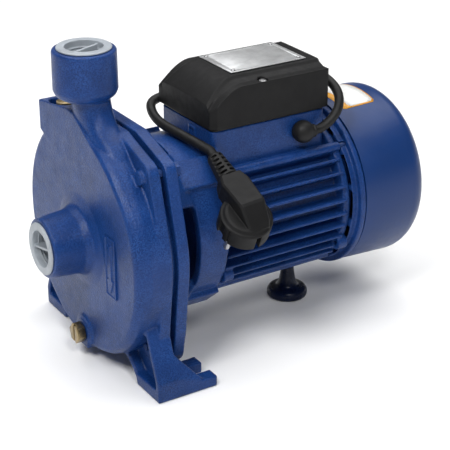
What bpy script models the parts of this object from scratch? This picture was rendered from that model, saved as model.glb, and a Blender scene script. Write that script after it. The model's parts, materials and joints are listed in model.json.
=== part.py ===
"""Centrifugal water pump with a close-coupled electric motor, built from its separate pieces.

The shaft lies along X, from the suction port (-X) to the fan (+X). The discharge port points up,
and the soles of the feet are at Z = 0. Dimensions are in millimetres and stations along the shaft
are measured from the front edge of the feet; MM and CENTRE_X turn both into Blender's metres.
"""
import math

import bmesh
import bpy
from mathutils import Matrix, Vector

# ---- driving dimensions, millimetres ---------------------------------------------------------
MM = 0.001
CENTRE_X = 103.6          # half way between the suction plug and the back of the fan cover
GAP = 0.3                 # clearance between neighbouring solids
SHAFT_Z = 93.5            # shaft height above the feet

FOOT_SPAN = 177.0         # over both feet
FOOT_WIDTH = 31.5         # of one foot
FOOT_LENGTH = 47.5
FOOT_THICK = 8.0
FOOT_SLOT = 11.0          # width of the open bolt slot
FOOT_SLOT_END = 34.0      # station of the slot's round end

SUCTION_X = -41.0         # face of the suction port
FACE_X = -11.0            # flat front face of the casing
CASING_R = 82.0           # casing beside the neck; the volute swells from there round to the far side
CHAMBER_R = 74.5
FLANGE_X = (8.5, 17.0)    # casing flange
FLANGE_R = 82.0
BACK_FLANGE_X = (22.0, 31.0)   # bracket flange, behind the open gap
PORT_R = 15.2             # thread bore of both ports, G1
DISCHARGE_X = -2.0
DISCHARGE_TOP = 232.0
DISCHARGE_LOW = 200.6
DISCHARGE_R = 22.0
CHANNEL_X = 1.8           # discharge channel inside the neck
UPPER_BOLT = (57.0, 156.5)
LOWER_BOLT = (57.0, 29.0)
PRIMING_XY = (-1.0, 32.5)
DRAIN_Z = 20.3

BELL_END_X = 50.0         # where the bracket's bell meets its ring
RING_X = 73.0             # back of the bracket's ring
RING_R = 62.0
PAD_R = 65.6              # flat pads on the ring
PAD_WIDTH = 22.8
PAD_ANGLES = (50.0, 130.0, 230.0, 310.0)

FRAME_X = (73.4, 182.0)   # motor frame
FRAME_WALL_R = 50.5
STATOR_R = 45.5
FIN_R = 60.5
FIN_PITCH = 10.0
TUNNELS = ((47.0, 58.6), (133.0, 58.6), (238.0, 57.0), (302.0, 57.0))   # angle, radius
TUNNEL_R = 3.6
LUG_ANGLES = (210.0, 330.0)
LUG_R = 5.6
LUG_RADIUS = 59.0         # of the lugs' centres from the shaft

BASE_X = (76.2, 172.4)    # terminal box cast on the frame
BASE_HALF = 35.6
BASE_TOP = 166.6
COVER_X = (74.8, 173.6)
COVER_HALF = 37.1
COVER_LOW = 168.2
COVER_LEDGE = 197.2
COVER_TOP = 201.4
COVER_NOSE = 27.0         # length of the sloping front end
COVER_WALL = 2.4
COVER_SCREW = (120.0, 32.2)

SHIELD_X = (182.3, 191.7)
COVER_BARREL_X = (192.0, 249.8)    # fan cover
COVER_BARREL_R = 65.2     # at its open end; it widens a little towards the fan
COVER_BARREL_BACK = 67.0
COVER_BARREL_Z = 94.3     # the cover sits a little high on the motor
COVER_ROUND = 14.0
COVER_SCREW_X = 195.5
COVER_SCREW_ANGLES = (62.0, -20.0, -102.0)
PLATE_X = (101.0, 164.6)
PLATE_Y = (-20.8, 22.4)

GLAND_AT = (150.0, -35.9, 154.6)
CORD_D = 7.0
PLUG_NECK = (73.0, -42.9, 152.8)       # where the cord enters the plug's strain relief
PLUG_BACK = (71.9, -87.8, 127.1)       # centre of the plug head's outer face
HANDLE_AT = (74.3, -87.8, 127.2)       # the handle's axis, beside it
PIN_HINT = (0.10, 0.44, -0.89)         # direction of the plug's pins, near enough
FOOT_X = 167.0            # support foot under the motor

# castings whose many joins the EXACT solver leaves open
MANY_JOINS = ("pump_casing", "lantern_bracket", "motor_frame", "rear_shield", "fan", "support_foot",
              "fan_cover",
              "support_foot_screw")


# ---- modelling helpers -----------------------------------------------------------------------
def clear_scene():
    for item in list(bpy.data.objects):
        bpy.data.objects.remove(item, do_unlink=True)


def world(point):
    return Vector(((point[0] - CENTRE_X) * MM, point[1] * MM, point[2] * MM))


def make(name, points, faces, matrix=None):
    """A closed mesh object from points in millimetres."""
    if matrix is not None:
        points = [matrix @ Vector(p) for p in points]
    mesh = bpy.data.meshes.new(name)
    mesh.from_pydata([world(p) for p in points], [], faces)
    shape = bmesh.new()
    shape.from_mesh(mesh)
    bmesh.ops.recalc_face_normals(shape, faces=shape.faces)
    shape.to_mesh(mesh)
    shape.free()
    item = bpy.data.objects.new(name, mesh)
    bpy.context.scene.collection.objects.link(item)
    return item


def turned(name, profile, axis="x", centre=(0.0, SHAFT_Z), segments=28, matrix=None):
    """Turn a closed outline of (station, radius) pairs about an axis."""
    points, rings = [], []
    for station, radius in profile:
        count = segments if radius > 0 else 1
        rings.append(range(len(points), len(points) + count))
        for step in range(count):
            angle = math.tau * step / segments
            u = centre[0] + radius * math.cos(angle)
            v = centre[1] + radius * math.sin(angle)
            points.append((station, u, v) if axis == "x" else (u, v, station))
    faces = []
    for index, ring in enumerate(rings):
        other = rings[(index + 1) % len(rings)]
        if len(ring) == 1 and len(other) == 1:
            continue
        for step in range(segments):
            turn = (step + 1) % segments
            corner = [ring[step % len(ring)], other[step % len(other)],
                      other[turn % len(other)], ring[turn % len(ring)]]
            faces.append(list(dict.fromkeys(corner)))
    return make(name, points, faces, matrix)


def prism(name, outline, axis, low, high, matrix=None):
    """Extrude a closed outline along an axis. Outlines are YZ for x, XZ for y and XY for z."""
    def spot(a, b, w):
        return {"x": (w, a, b), "y": (a, w, b), "z": (a, b, w)}[axis]
    count = len(outline)
    points = [spot(a, b, w) for w in (low, high) for a, b in outline]
    faces = [list(range(count)), list(range(count, 2 * count))]
    faces += [[i, (i + 1) % count, count + (i + 1) % count, count + i] for i in range(count)]
    return make(name, points, faces, matrix)


def loft(name, sections, matrix=None):
    """Skin a stack of sections with the same number of points, capped at both ends."""
    count = len(sections[0])
    points = [p for section in sections for p in section]
    faces = [list(range(count)), list(range(len(points) - count, len(points)))]
    for layer in range(len(sections) - 1):
        start = layer * count
        for i in range(count):
            j = (i + 1) % count
            faces.append([start + i, start + j, start + count + j, start + count + i])
    return make(name, points, faces, matrix)


def box(name, low, high, matrix=None):
    outline = [(low[0], low[1]), (high[0], low[1]), (high[0], high[1]), (low[0], high[1])]
    return prism(name, outline, "z", low[2], high[2], matrix)


def combine(target, tools, operation):
    """Boolean the tools into the target and apply the result."""
    for tool in tools if isinstance(tools, (list, tuple)) else [tools]:
        modifier = target.modifiers.new("shape", "BOOLEAN")
        modifier.operation = operation
        modifier.solver = "MANIFOLD" if target.name in MANY_JOINS else "EXACT"
        modifier.object = tool
        graph = bpy.context.evaluated_depsgraph_get()
        result = bpy.data.meshes.new_from_object(target.evaluated_get(graph))
        target.modifiers.clear()
        target.data = result
        bpy.data.objects.remove(tool, do_unlink=True)
    return target


def cut(target, *tools):
    return combine(target, tools, "DIFFERENCE")


def add(target, *tools):
    return combine(target, tools, "UNION")


def arc(centre, radius, start, end, steps):
    """Points along an arc, angles in degrees, both ends included."""
    turns = [math.radians(start + (end - start) * i / steps) for i in range(steps + 1)]
    return [(centre[0] + radius * math.cos(t), centre[1] + radius * math.sin(t)) for t in turns]


def polar(angle, radius, centre=(0.0, SHAFT_Z)):
    turn = math.radians(angle)
    return (centre[0] + radius * math.cos(turn), centre[1] + radius * math.sin(turn))


def hull_of_circles(circles):
    """Convex outline around circles given as (centre, radius)."""
    cloud = sorted({p for c, r in circles for p in arc(c, r, 0, 360, 10 + int(r / 2.4))})

    def half(points):
        chain = []
        for p in points:
            while len(chain) > 1 and turn_of(chain[-2], chain[-1], p) <= 1e-9:
                chain.pop()
            chain.append(p)
        return chain[:-1]

    def turn_of(a, b, p):
        return (b[0] - a[0]) * (p[1] - a[1]) - (b[1] - a[1]) * (p[0] - a[0])

    return half(cloud) + half(cloud[::-1])


def rounded_rectangle(low, high, radius, steps=2):
    corners = [((high[0] - radius, high[1] - radius), 0), ((low[0] + radius, high[1] - radius), 90),
               ((low[0] + radius, low[1] + radius), 180), ((high[0] - radius, low[1] + radius), 270)]
    return [p for centre, start in corners for p in arc(centre, radius, start, start + 90, steps)]


def rod(name, start, end, radius, axis="x", at=(0.0, 0.0), segments=10):
    profile = [(start, 0.0), (start, radius), (end, radius), (end, 0.0)]
    return turned(name, profile, axis, at, segments)


def hexagon(centre, across_flats, start=0.0):
    return arc(centre, across_flats / math.sqrt(3.0), start, start + 300.0, 5)


def paint(item, colour, roughness, metallic=0.0):
    """Give a piece its own material and smooth its round faces."""
    material = bpy.data.materials.new(item.name)
    material.use_nodes = True
    shader = material.node_tree.nodes["Principled BSDF"]
    shader.inputs["Base Color"].default_value = (*colour, 1.0)
    shader.inputs["Roughness"].default_value = roughness
    shader.inputs["Metallic"].default_value = metallic
    item.data.materials.clear()
    item.data.materials.append(material)
    item.data.shade_smooth()
    item.data.set_sharp_from_angle(angle=math.radians(35))
    return item


BLUE = ((0.012, 0.055, 0.27), 0.28)
BLACK_PLASTIC = ((0.018, 0.018, 0.02), 0.5)
RUBBER = ((0.012, 0.012, 0.012), 0.6)
BRASS = ((0.72, 0.5, 0.22), 0.3, 1.0)
STEEL = ((0.5, 0.5, 0.52), 0.3, 1.0)
ZINC = ((0.6, 0.6, 0.6), 0.35, 1.0)
GREY_PLASTIC = ((0.5, 0.53, 0.56), 0.45)
COPPER = ((0.55, 0.2, 0.08), 0.35, 1.0)


# ---- pump end --------------------------------------------------------------------------------
def flange_outline(shrink=0.0):
    """Outline shared by the casing flange and the bracket flange, with its four bolt corners."""
    circles = [((0.0, SHAFT_Z), FLANGE_R - shrink)]
    for side in (-1, 1):
        circles.append(((side * UPPER_BOLT[0], UPPER_BOLT[1]), 10.5 - shrink))
        circles.append(((side * 58.5, 25.8), 14.0 - shrink))
        circles.append(((side * 60.5, 45.0), 16.0 - shrink))
        circles.append(((side * 22.0, 163.0), 14.5 - shrink))
    return hull_of_circles(circles)


def bolt_positions():
    return [(side * y, z) for y, z in (UPPER_BOLT, LOWER_BOLT) for side in (-1, 1)]


def neck():
    """Discharge neck: round under the port, spreading into the volute below."""
    # height, centre X, centre Y, half length X, half width Y, squareness
    rows = ((206.0, 0.6, 0.0, 13.5, 16.0, 2.0), (194.0, 1.6, 0.0, 13.0, 15.7, 2.0),
            (182.0, 2.4, -2.6, 12.2, 19.4, 2.3), (171.0, 2.4, -7.4, 12.0, 29.0, 2.6),
            (150.0, 2.4, -8.0, 11.6, 47.0, 3.2))
    sections = []
    for z, cx, cy, half_x, half_y, power in rows:
        ring = []
        for step in range(16):
            turn = math.tau * step / 16
            c, s = math.cos(turn), math.sin(turn)
            x = cx + half_x * math.copysign(abs(c) ** (2.0 / power), c)
            y = cy + half_y * math.copysign(abs(s) ** (2.0 / power), s)
            ring.append((x, y, z))
        sections.append(ring)
    return loft("neck", sections)


def leg(side):
    """One leg with its foot: front web with a pocket, sole, outer gusset and open bolt slot."""
    outer = FOOT_SPAN / 2
    inner = outer - FOOT_WIDTH

    def sided(outline):
        return [(side * y, z) for y, z in outline]

    front = [(inner, 0.0), (outer, 0.0), (outer, 14.0), (73.5, 50.0), (66.0, 66.0), (30.0, 62.0),
             (20.0, 30.0), (36.0, 19.0), (44.0, 14.5), (51.0, 10.0), (55.0, 5.4)]
    body = prism("leg", sided(front), "x", 0.0, FLANGE_X[1])
    pocket = [(57.0, 8.6), (84.2, 9.0), (83.5, 14.5), (70.5, 48.0), (61.0, 56.0), (40.0, 30.0),
              (46.0, 17.5)]
    cut(body, prism("pocket", sided(pocket), "x", -5.0, FLANGE_X[0]))
    sole = box("sole", (10.0, min(side * inner, side * outer), 0.0),
               (FOOT_LENGTH, max(side * inner, side * outer), FOOT_THICK))
    middle = side * (outer - FOOT_WIDTH / 2)
    slot = [(FOOT_LENGTH + 5.0, middle - FOOT_SLOT / 2), (FOOT_LENGTH + 5.0, middle + FOOT_SLOT / 2)]
    slot += arc((FOOT_SLOT_END, middle), FOOT_SLOT / 2, 90.0, 270.0, 8)
    cut(sole, prism("slot", slot, "z", -5.0, FOOT_THICK + 5.0))
    # the gusset carries the leg's outer slope on, down to the back of the sole
    web = loft("gusset", [[(x, side * (outer - inset), z) for inset, z in section] for x, section in (
        (12.0, ((0.0, 1.0), (0.0, 14.0), (8.75, 35.0), (13.25, 35.0), (4.5, 14.0), (4.5, 1.0))),
        (FLANGE_X[1], ((0.0, 1.0), (0.0, 14.0), (6.7, 30.0), (11.2, 30.0), (4.5, 14.0), (4.5, 1.0))),
        (36.0, ((0.0, 1.0), (0.0, 7.0), (0.2, FOOT_THICK), (4.3, FOOT_THICK), (4.5, 7.0), (4.5, 1.0))))])
    return add(body, sole, web)


def swell(body):
    """Widen the casing's rim along the volute, least by the neck's near side and most at its far side."""
    for vertex in body.data.vertices:
        y, z = vertex.co.y / MM, vertex.co.z / MM - SHAFT_Z
        radius = math.hypot(y, z)
        turned_by = (math.degrees(math.atan2(z, y)) - 135.0) % 360.0
        share = min(1.0, turned_by / 110.0, (360.0 - turned_by) / 45.0)
        grown = radius + max(0.0, (radius - 60.0) / (CASING_R - 60.0)) * (-1.6 + 5.4 * share)
        scale = grown / radius if radius else 0.0
        vertex.co.y = y * scale * MM
        vertex.co.z = (z * scale + SHAFT_Z) * MM
    return body


def pump_casing():
    profile = [(SUCTION_X, 0.0), (SUCTION_X, 20.9), (SUCTION_X + 0.9, 21.7), (-18.5, 23.3), (-13.6, 25.8),
               (FACE_X, 34.0), (FACE_X, 60.0), (FACE_X + 0.1, CASING_R - 4.6),
               (FACE_X + 1.3, CASING_R - 2.4), (FACE_X + 5.0, CASING_R - 0.4),
               (FACE_X + 11.0, CASING_R + 0.6), (FACE_X + 16.0, CASING_R + 0.2),
               (FLANGE_X[1] - 1.0, CASING_R - 0.5), (FLANGE_X[1] - 1.0, 0.0)]
    body = swell(turned("pump_casing", profile, segments=36))
    add(body, prism("flange", flange_outline(), "x", *FLANGE_X))
    add(body, leg(-1), leg(1))
    add(body, neck())
    boss = [(DISCHARGE_TOP, 0.0), (DISCHARGE_TOP, DISCHARGE_R - 0.9), (DISCHARGE_TOP - 0.9, DISCHARGE_R),
            (DISCHARGE_LOW + 3.4, DISCHARGE_R + 0.3), (DISCHARGE_LOW, DISCHARGE_R - 1.2),
            (DISCHARGE_LOW - 2.4, DISCHARGE_R - 4.5), (DISCHARGE_LOW - 3.2, DISCHARGE_R - 8.0),
            (DISCHARGE_LOW - 3.2, 0.0)]
    add(body, turned("boss", boss, "z", (DISCHARGE_X, 0.0), 24))
    # flat web between the casing's face and the neck, then the priming lug on the far side
    web = [(59.0, 157.5), (59.0, 179.8), (12.0, 187.0), (3.0, 185.6), (-5.9, 180.7), (-22.9, 171.0),
           (-44.0, 157.7),
           (-52.0, 150.5), (-36.0, 130.0), (30.0, 130.0), (40.0, 150.0)]
    add(body, prism("web", web, "x", FACE_X, 0.0))
    lug = [(8.0, 157.5), (59.0, 157.5), (59.0, 179.8), (13.0, 186.7), (8.0, 186.7)]
    add(body, prism("lug", lug, "x", FACE_X, FLANGE_X[0] + 1.0))
    pocket = [(PRIMING_XY[0] + 8.6 * math.cos(t),
               37.5 + 16.5 * math.sin(t)) for t in [math.tau * i / 12 for i in range(12)]]
    cut(body, prism("pocket", pocket, "z", 173.0, 200.0))
    # raised pads: drain boss, arrow plate, and the seats of the two upper bolt ends
    drain_pad = arc((-1.0, DRAIN_Z), 9.5, -28.0, 208.0, 12) + [(-9.4, 9.6), (7.4, 9.6)]
    add(body, prism("drain_pad", drain_pad, "x", FACE_X - 3.0, FACE_X + 4.0))
    arrow = rounded_rectangle((-53.0, 67.5), (-38.5, 112.5), 1.5)
    add(body, prism("arrow", arrow, "x", FACE_X - 1.3, FACE_X + 3.0))
    for side in (-1, 1):
        add(body, rod("seat", FLANGE_X[0] - 3.6, FLANGE_X[0] + 2.0, 5.2,
                      at=(side * UPPER_BOLT[0], UPPER_BOLT[1])))
    # suction port, eye and impeller chamber
    bore = [(SUCTION_X - 5.0, 0.0), (SUCTION_X - 5.0, PORT_R), (-22.0, PORT_R), (-20.0, 13.4),
            (-15.0, 13.4),
            (-15.0, 20.6), (FACE_X + 5.0, 20.6), (FACE_X + 5.0, CHAMBER_R),
            (FLANGE_X[1] + 5.0, CHAMBER_R), (FLANGE_X[1] + 5.0, 0.0)]
    cut(body, turned("bore", bore, segments=36))
    # discharge port and channel
    port = [(DISCHARGE_TOP + 5.0, 0.0), (DISCHARGE_TOP + 5.0, PORT_R), (214.0, PORT_R), (208.0, 11.0),
            (208.0, 0.0)]
    cut(body, turned("port", port, "z", (DISCHARGE_X, 0.0), 20))
    channel = [(CHANNEL_X + 8.6 * math.cos(t), 11.0 * math.sin(t)) for t in
               [math.tau * i / 12 for i in range(12)]]
    cut(body, prism("channel", channel, "z", 150.0, 212.0))
    # threads of the priming plug, the drain plug and the casing bolts
    cut(body, rod("hole", 140.0, 180.0, 6.4, "z", PRIMING_XY, 14))
    cut(body, rod("hole", FACE_X - 8.0, FACE_X + 8.0, 4.8, at=(-1.0, DRAIN_Z), segments=14))
    for y, z in bolt_positions():
        cut(body, rod("hole", FLANGE_X[0] - (1.9 if z > SHAFT_Z else 8.0), FLANGE_X[1] + 3.0, 3.0 + GAP,
                      at=(y, z)))
    return paint(body, *BLUE)


def thread_plug(name, axis, centre, face, direction):
    """Plastic transport plug: flange ring, cup and cross web. direction points into the port."""
    def at(depth):
        return face + direction * depth
    profile = [(at(-1.6), 13.2), (at(-1.6), 18.4), (at(-1.2), 18.9), (at(-GAP), 18.9),
               (at(-GAP), PORT_R - GAP),
               (at(12.0), PORT_R - GAP - 0.3), (at(13.0), 13.0), (at(13.0), 0.0), (at(10.5), 0.0),
               (at(10.5), 13.2)]
    plug = turned(name, profile, axis, centre, 20)
    low, high = sorted((at(0.2), at(11.0)))
    if axis == "x":
        web = box("web", (low, -13.4, SHAFT_Z - 0.9), (high, 13.4, SHAFT_Z + 0.9))
    else:
        web = box("web", (-13.4, -0.9, low), (13.4, 0.9, high),
                  Matrix.Translation((centre[0], centre[1], 0.0)) @ Matrix.Rotation(math.radians(22), 4,
        "Z"))
    add(plug, web)
    return paint(plug, *GREY_PLASTIC)


def priming_plug():
    plug = prism("priming_plug", hexagon(PRIMING_XY, 13.0, 30.0), "z", 176.0, 185.0)
    collar = [(176.5, 0.0), (176.5, 7.4), (173.0 + GAP, 7.4), (173.0 + GAP, 6.0), (162.0, 6.0),
              (161.0, 5.2), (161.0, 0.0)]
    add(plug, turned("collar", collar, "z", PRIMING_XY, 14))
    return paint(plug, *BRASS)


def drain_plug():
    at = (-1.0, DRAIN_Z)
    pad = FACE_X - 3.0
    plug = prism("drain_plug", hexagon(at, 13.4, 10.0), "x", pad - 6.6, pad - GAP)
    add(plug, rod("shank", pad - 1.0, FACE_X + 5.0, 4.5, at=at, segments=14))
    cut(plug, box("slot", (pad - 9.0, -1.8, DRAIN_Z - 12.0), (pad - 5.2, -0.2, DRAIN_Z + 12.0)))
    return paint(plug, *BRASS)


def casing_bolt(index, spot):
    """Hexagon bolt from the bracket side, its end just through the casing flange."""
    head = prism("casing_bolt_%d" % index, hexagon(spot, 10.0, 20.0), "x", BACK_FLANGE_X[1] + GAP,
                 BACK_FLANGE_X[1] + 4.3)
    add(head, rod("shank", FLANGE_X[0] - 1.6, BACK_FLANGE_X[1] + 1.0, 3.0, at=spot))
    return paint(head, *BLUE)


def impeller():
    """Closed brass impeller: eye ring, front and back shrouds, six curved vanes and the hub."""
    front = [(-14.6, 16.2), (-14.6, 20.0), (-5.7, 20.3), (-5.0, 22.0), (-5.0, 65.0), (-2.8, 65.0),
             (-2.8, 16.2)]
    back = [(-2.6, 6.2), (-2.6, 11.0), (4.8, 15.0), (4.8, 65.0), (7.0, 65.0), (7.4, 24.0), (12.0, 12.0),
            (12.0, 6.2)]
    wheel = turned("impeller", back, segments=20)
    add(wheel, turned("front", front, segments=20))
    for blade in range(6):
        spine = [polar(60.0 * blade - 62.0 * t, 17.5 + 47.0 * t) for t in (0.0, 0.25, 0.5, 0.75, 1.0)]
        outer = [polar(60.0 * blade - 62.0 * t + 5.0 - 2.6 * t, 17.5 + 47.0 * t) for t in (1.0, 0.75,
        0.5, 0.25, 0.0)]
        add(wheel, prism("vane", spine + outer, "x", -3.2, 5.2))
    return paint(wheel, *BRASS)


# ---- bracket and seal ------------------------------------------------------------------------
def wedge(name, start, end, low, high, inner=34.0, outer=120.0):
    outline = arc((0.0, SHAFT_Z), outer, start, end, 2) + arc((0.0, SHAFT_Z), inner, end, start, 2)
    return prism(name, outline, "x", low, high)


def lantern_bracket():
    low, high = BACK_FLANGE_X
    outer = [(12.6, 0.0), (12.6, CHAMBER_R - 0.9), (13.2, CHAMBER_R - GAP), (low + 1.0, CHAMBER_R - GAP),
             (low + 1.0, 76.0),
             (high, 76.0), (BELL_END_X, RING_R), (RING_X, RING_R), (RING_X, 49.8), (79.0, 49.8),
             (79.0, 0.0)]
    body = turned("lantern_bracket", outer, segments=36)
    add(body, prism("flange", flange_outline(1.6), "x", low, high))
    for angle in PAD_ANGLES:
        turn = Matrix.Translation((0.0, 0.0, SHAFT_Z)) @ Matrix.Rotation(math.radians(angle), 4, "X")
        add(body, box("pad", (BELL_END_X - 5.0, 50.0, -PAD_WIDTH / 2),
                      (RING_X - 0.6, PAD_R, PAD_WIDTH / 2), turn))
    # lantern hollow between the flange plate and the motor end wall
    hollow = [(high, 22.5), (high, 68.0), (BELL_END_X, 55.0), (60.0, 55.0), (60.0, 24.0), (57.0, 20.5),
              (57.0, 0.0),
              (38.0, 0.0), (38.0, 20.0)]
    cut(body, turned("hollow", hollow, segments=24))
    # motor side hollow, bearing seat, shaft hole and seal seat
    rear = [(66.0, 25.0), (66.0, 45.0), (84.0, 45.0), (84.0, 22.5), (76.0, 22.5)]
    cut(body, turned("rear", rear, segments=20))
    shaft_way = [(5.0, 0.0), (5.0, 19.0), (17.0, 19.0), (21.0, 15.5), (29.6, 15.5), (29.6, 9.0),
                 (62.0, 9.0), (64.0, 12.5),
                 (64.0, 17.6), (90.0, 17.6), (90.0, 0.0)]
    cut(body, turned("shaft_way", shaft_way, segments=20))
    for start, end in ((150.0, 210.0), (-30.0, 30.0)):
        cut(body, wedge("window", start, end, high + 0.1, BELL_END_X + 0.5))
    for start, end in ((70.0, 110.0), (250.0, 290.0)):
        cut(body, wedge("window", start, end, high + 4.0, BELL_END_X))
    for y, z in bolt_positions():
        cut(body, rod("hole", low - 3.0, high + 3.0, 3.0 + GAP, at=(y, z)))
    for angle, radius in TUNNELS:
        cut(body, rod("hole", 62.0, RING_X + 2.0, 2.2 + GAP, at=polar(angle, radius), segments=8))
    # groove that holds the casing's sealing ring
    groove = [(14.6, CHAMBER_R - 3.2), (14.6, CHAMBER_R + 2.0), (17.6, CHAMBER_R + 2.0),
              (17.6, CHAMBER_R - 3.2)]
    cut(body, turned("groove", groove, segments=36))
    return paint(body, *BLUE)


def ring(name, outline, finish, segments=24):
    return paint(turned(name, outline, segments=segments), *finish)


def seal_spring():
    """Coil spring of the shaft seal, one closed wire of four turns."""
    steps, sides, wire, coil = 44, 4, 0.8, 10.4
    sections = []
    for step in range(steps + 1):
        share = step / steps
        turn = math.tau * 4.0 * share
        x = 13.4 + 4.6 * share
        sections.append([(x + wire * math.sin(a), *polar(math.degrees(turn), coil + wire * math.cos(a)))
                         for a in [math.tau * i / sides for i in range(sides)]])
    spring = loft("seal_spring", sections)
    wire_mesh = bmesh.new()
    wire_mesh.from_mesh(spring.data)
    bmesh.ops.triangulate(wire_mesh, faces=wire_mesh.faces)
    wire_mesh.to_mesh(spring.data)
    wire_mesh.free()
    return paint(spring, *STEEL)


# ---- motor -----------------------------------------------------------------------------------
def finned_outline():
    """Cross-section of the frame: round wall with radial fins, thick ribs over the bolt tunnels."""
    outline = []

    def fin(angle, half_root, half_tip, tip):
        for radius, half in ((FRAME_WALL_R, -half_root), (tip, -half_tip), (tip, half_tip),
                             (FRAME_WALL_R, half_root)):
            outline.append(polar(angle + math.degrees(half / radius), radius))

    ribs = {round(angle) for angle, _ in TUNNELS}
    angles = [47.0] + [47.0 - FIN_PITCH * k for k in range(1, 10)]
    left = sorted((180.0 - a) % 360.0 for a in angles)
    right = sorted(a if a > 0 else a + 360.0 for a in angles)
    places = left + [256.0, 270.0,
                     284.0] + [a for a in right if a > 180.0] + [a for a in right if a < 180.0]
    for angle in places:
        near_rib = [a for a in ribs if abs(a - angle) < 3.0]
        if near_rib:
            fin(near_rib[0], 3.9, 3.4, 61.6)
        else:
            fin(angle, 1.7, 1.1, FIN_R)
    outline += arc((0.0, SHAFT_Z), FRAME_WALL_R, 47.0 + 8.0, 133.0 - 8.0, 8)
    return outline


def motor_frame():
    start, end = FRAME_X
    frame = prism("motor_frame", finned_outline(), "x", start + 1.5, end - 4.0)
    rim = [(start, 0.0), (start, 56.0), (start + 4.5, 56.0), (start + 6.0, FRAME_WALL_R - 1.0),
           (end - 8.0, FRAME_WALL_R - 1.0),
           (end - 5.0, 57.5), (end, 57.5), (end, 0.0)]
    add(frame, turned("rims", rim, segments=28))
    for angle, radius in TUNNELS:
        add(frame, rod("rib", start, end, TUNNEL_R, at=polar(angle, radius), segments=10))
    for angle in LUG_ANGLES:
        spot = polar(angle, LUG_RADIUS)
        for low, high in ((start, start + 8.0), (end - 8.0, end)):
            add(frame, rod("lug", low, high, LUG_R, at=spot))
            cut(frame, rod("hole", low - 2.0, low + 5.0, 1.9, at=spot, segments=8))
    # terminal box
    low, high = BASE_X
    shell = rounded_rectangle((low, -BASE_HALF), (high, BASE_HALF), 4.0)
    add(frame, prism("terminal_base", shell, "z", 131.0, BASE_TOP))
    inside = rounded_rectangle((low + 4.0, -BASE_HALF + 4.0), (high - 4.0, BASE_HALF - 4.0), 2.5)
    cut(frame, prism("inside", inside, "z", 149.0, BASE_TOP + 5.0))
    cut(frame, turned("bore", [(start - 2.0, 0.0), (start - 2.0, 50.1), (79.4, 50.1), (79.4, STATOR_R),
                               (end + 2.0, STATOR_R),
                               (end + 2.0, 0.0)], segments=36))
    cut(frame, rod("wire_way", 120.0, 155.0, 8.0, "z", (90.0, 0.0)))
    for side in (-1, 1):
        x, y = COVER_SCREW
        add(frame, rod("post", 147.0, BASE_TOP, 4.4, "z", (x, side * (y - 1.2))))
        cut(frame, rod("hole", 152.0, BASE_TOP + 3.0, 1.9 + GAP, "z", (x, side * y), 8))
    cut(frame, turned("gland_hole", [(-40.0, 0.0), (-40.0, 6.0), (-25.0, 6.0), (-25.0, 0.0)], "z",
                      (0.0, 0.0), 14,
                      Matrix.Translation((GLAND_AT[0], 0.0,
                                          GLAND_AT[2])) @ Matrix.Rotation(math.radians(-90), 4, "X")))
    # boss for the support foot, and the holes of the tie bolts
    add(frame, rod("foot_boss", 32.7, 44.5, 7.2, "z", (FOOT_X, 0.0), 14))
    cut(frame, rod("hole", 30.0, 42.0, 2.2 + GAP, "z", (FOOT_X, 0.0), 8))
    for angle, radius in TUNNELS:
        cut(frame, rod("hole", start - 2.0, end + 2.0, 2.2 + GAP, at=polar(angle, radius), segments=8))
    return paint(frame, *BLUE)


def tie_bolt(index, spot):
    bolt = prism("tie_bolt_%d" % index, hexagon(spot, 8.0), "x", SHIELD_X[1] - 3.7 + GAP, SHIELD_X[1])
    add(bolt, rod("shank", 63.0, SHIELD_X[1] - 3.0, 2.2, at=spot, segments=8))
    return paint(bolt, *ZINC)


def rear_shield():
    """End shield: bearing hub, web, eight spokes and the outer ring that carries the fan cover."""
    start, end = SHIELD_X
    profile = [(178.0, 40.5), (178.0, STATOR_R - GAP), (start, STATOR_R - GAP), (start, 60.6),
               (end - 3.7, 60.6),
               (end - 3.7, 26.0), (198.0, 22.0), (198.0, 9.0), (196.4, 9.0), (196.4, 17.5), (182.4, 17.5),
               (182.4, 24.0), (184.5, 40.5)]
    body = turned("rear_shield", profile, segments=24)
    vents = ((56.0, 84.0), (96.0, 124.0), (140.0, 163.0), (167.0, 190.0), (196.0, 230.0), (246.0, 264.0),
             (276.0, 294.0), (310.0, 344.0), (350.0, 373.0), (377.0, 400.0))
    for first, last in vents:
        cut(body, wedge("vent", first, last, start - 2.0, end + 2.0, 52.0, 60.0))
    rim = [(start + 4.8, 60.4), (start + 4.8, 64.2), (start + 5.6, 65.0), (end, 65.0), (end, 62.5),
           (end + 7.0, 62.5), (end + 7.0, 60.4)]
    add(body, turned("rim", rim, segments=24))
    for angle, radius in TUNNELS:
        spot = polar(angle, radius)
        cut(body, rod("hole", start - 3.0, end + 3.0, 2.2 + GAP, at=spot, segments=8))
        cut(body, rod("seat", end - 3.7, end + 6.0, 5.4, at=spot, segments=8))
    for angle in COVER_SCREW_ANGLES:
        cut(body, radial_rod("hole", angle, COVER_SCREW_X, 60.0, 70.0, 1.5 + GAP))
    return paint(body, *BLUE)




def radial_rod(name, angle, station, inner, outer, radius, segments=8):
    turn = (Matrix.Translation((station, 0.0, COVER_BARREL_Z)) @ Matrix.Rotation(math.radians(angle), 4,
        "X")
            @ Matrix.Rotation(math.radians(-90), 4, "X"))
    return turned(name, [(inner, 0.0), (inner, radius), (outer, radius), (outer, 0.0)], "z", (0.0, 0.0),
                  segments, turn)


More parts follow.
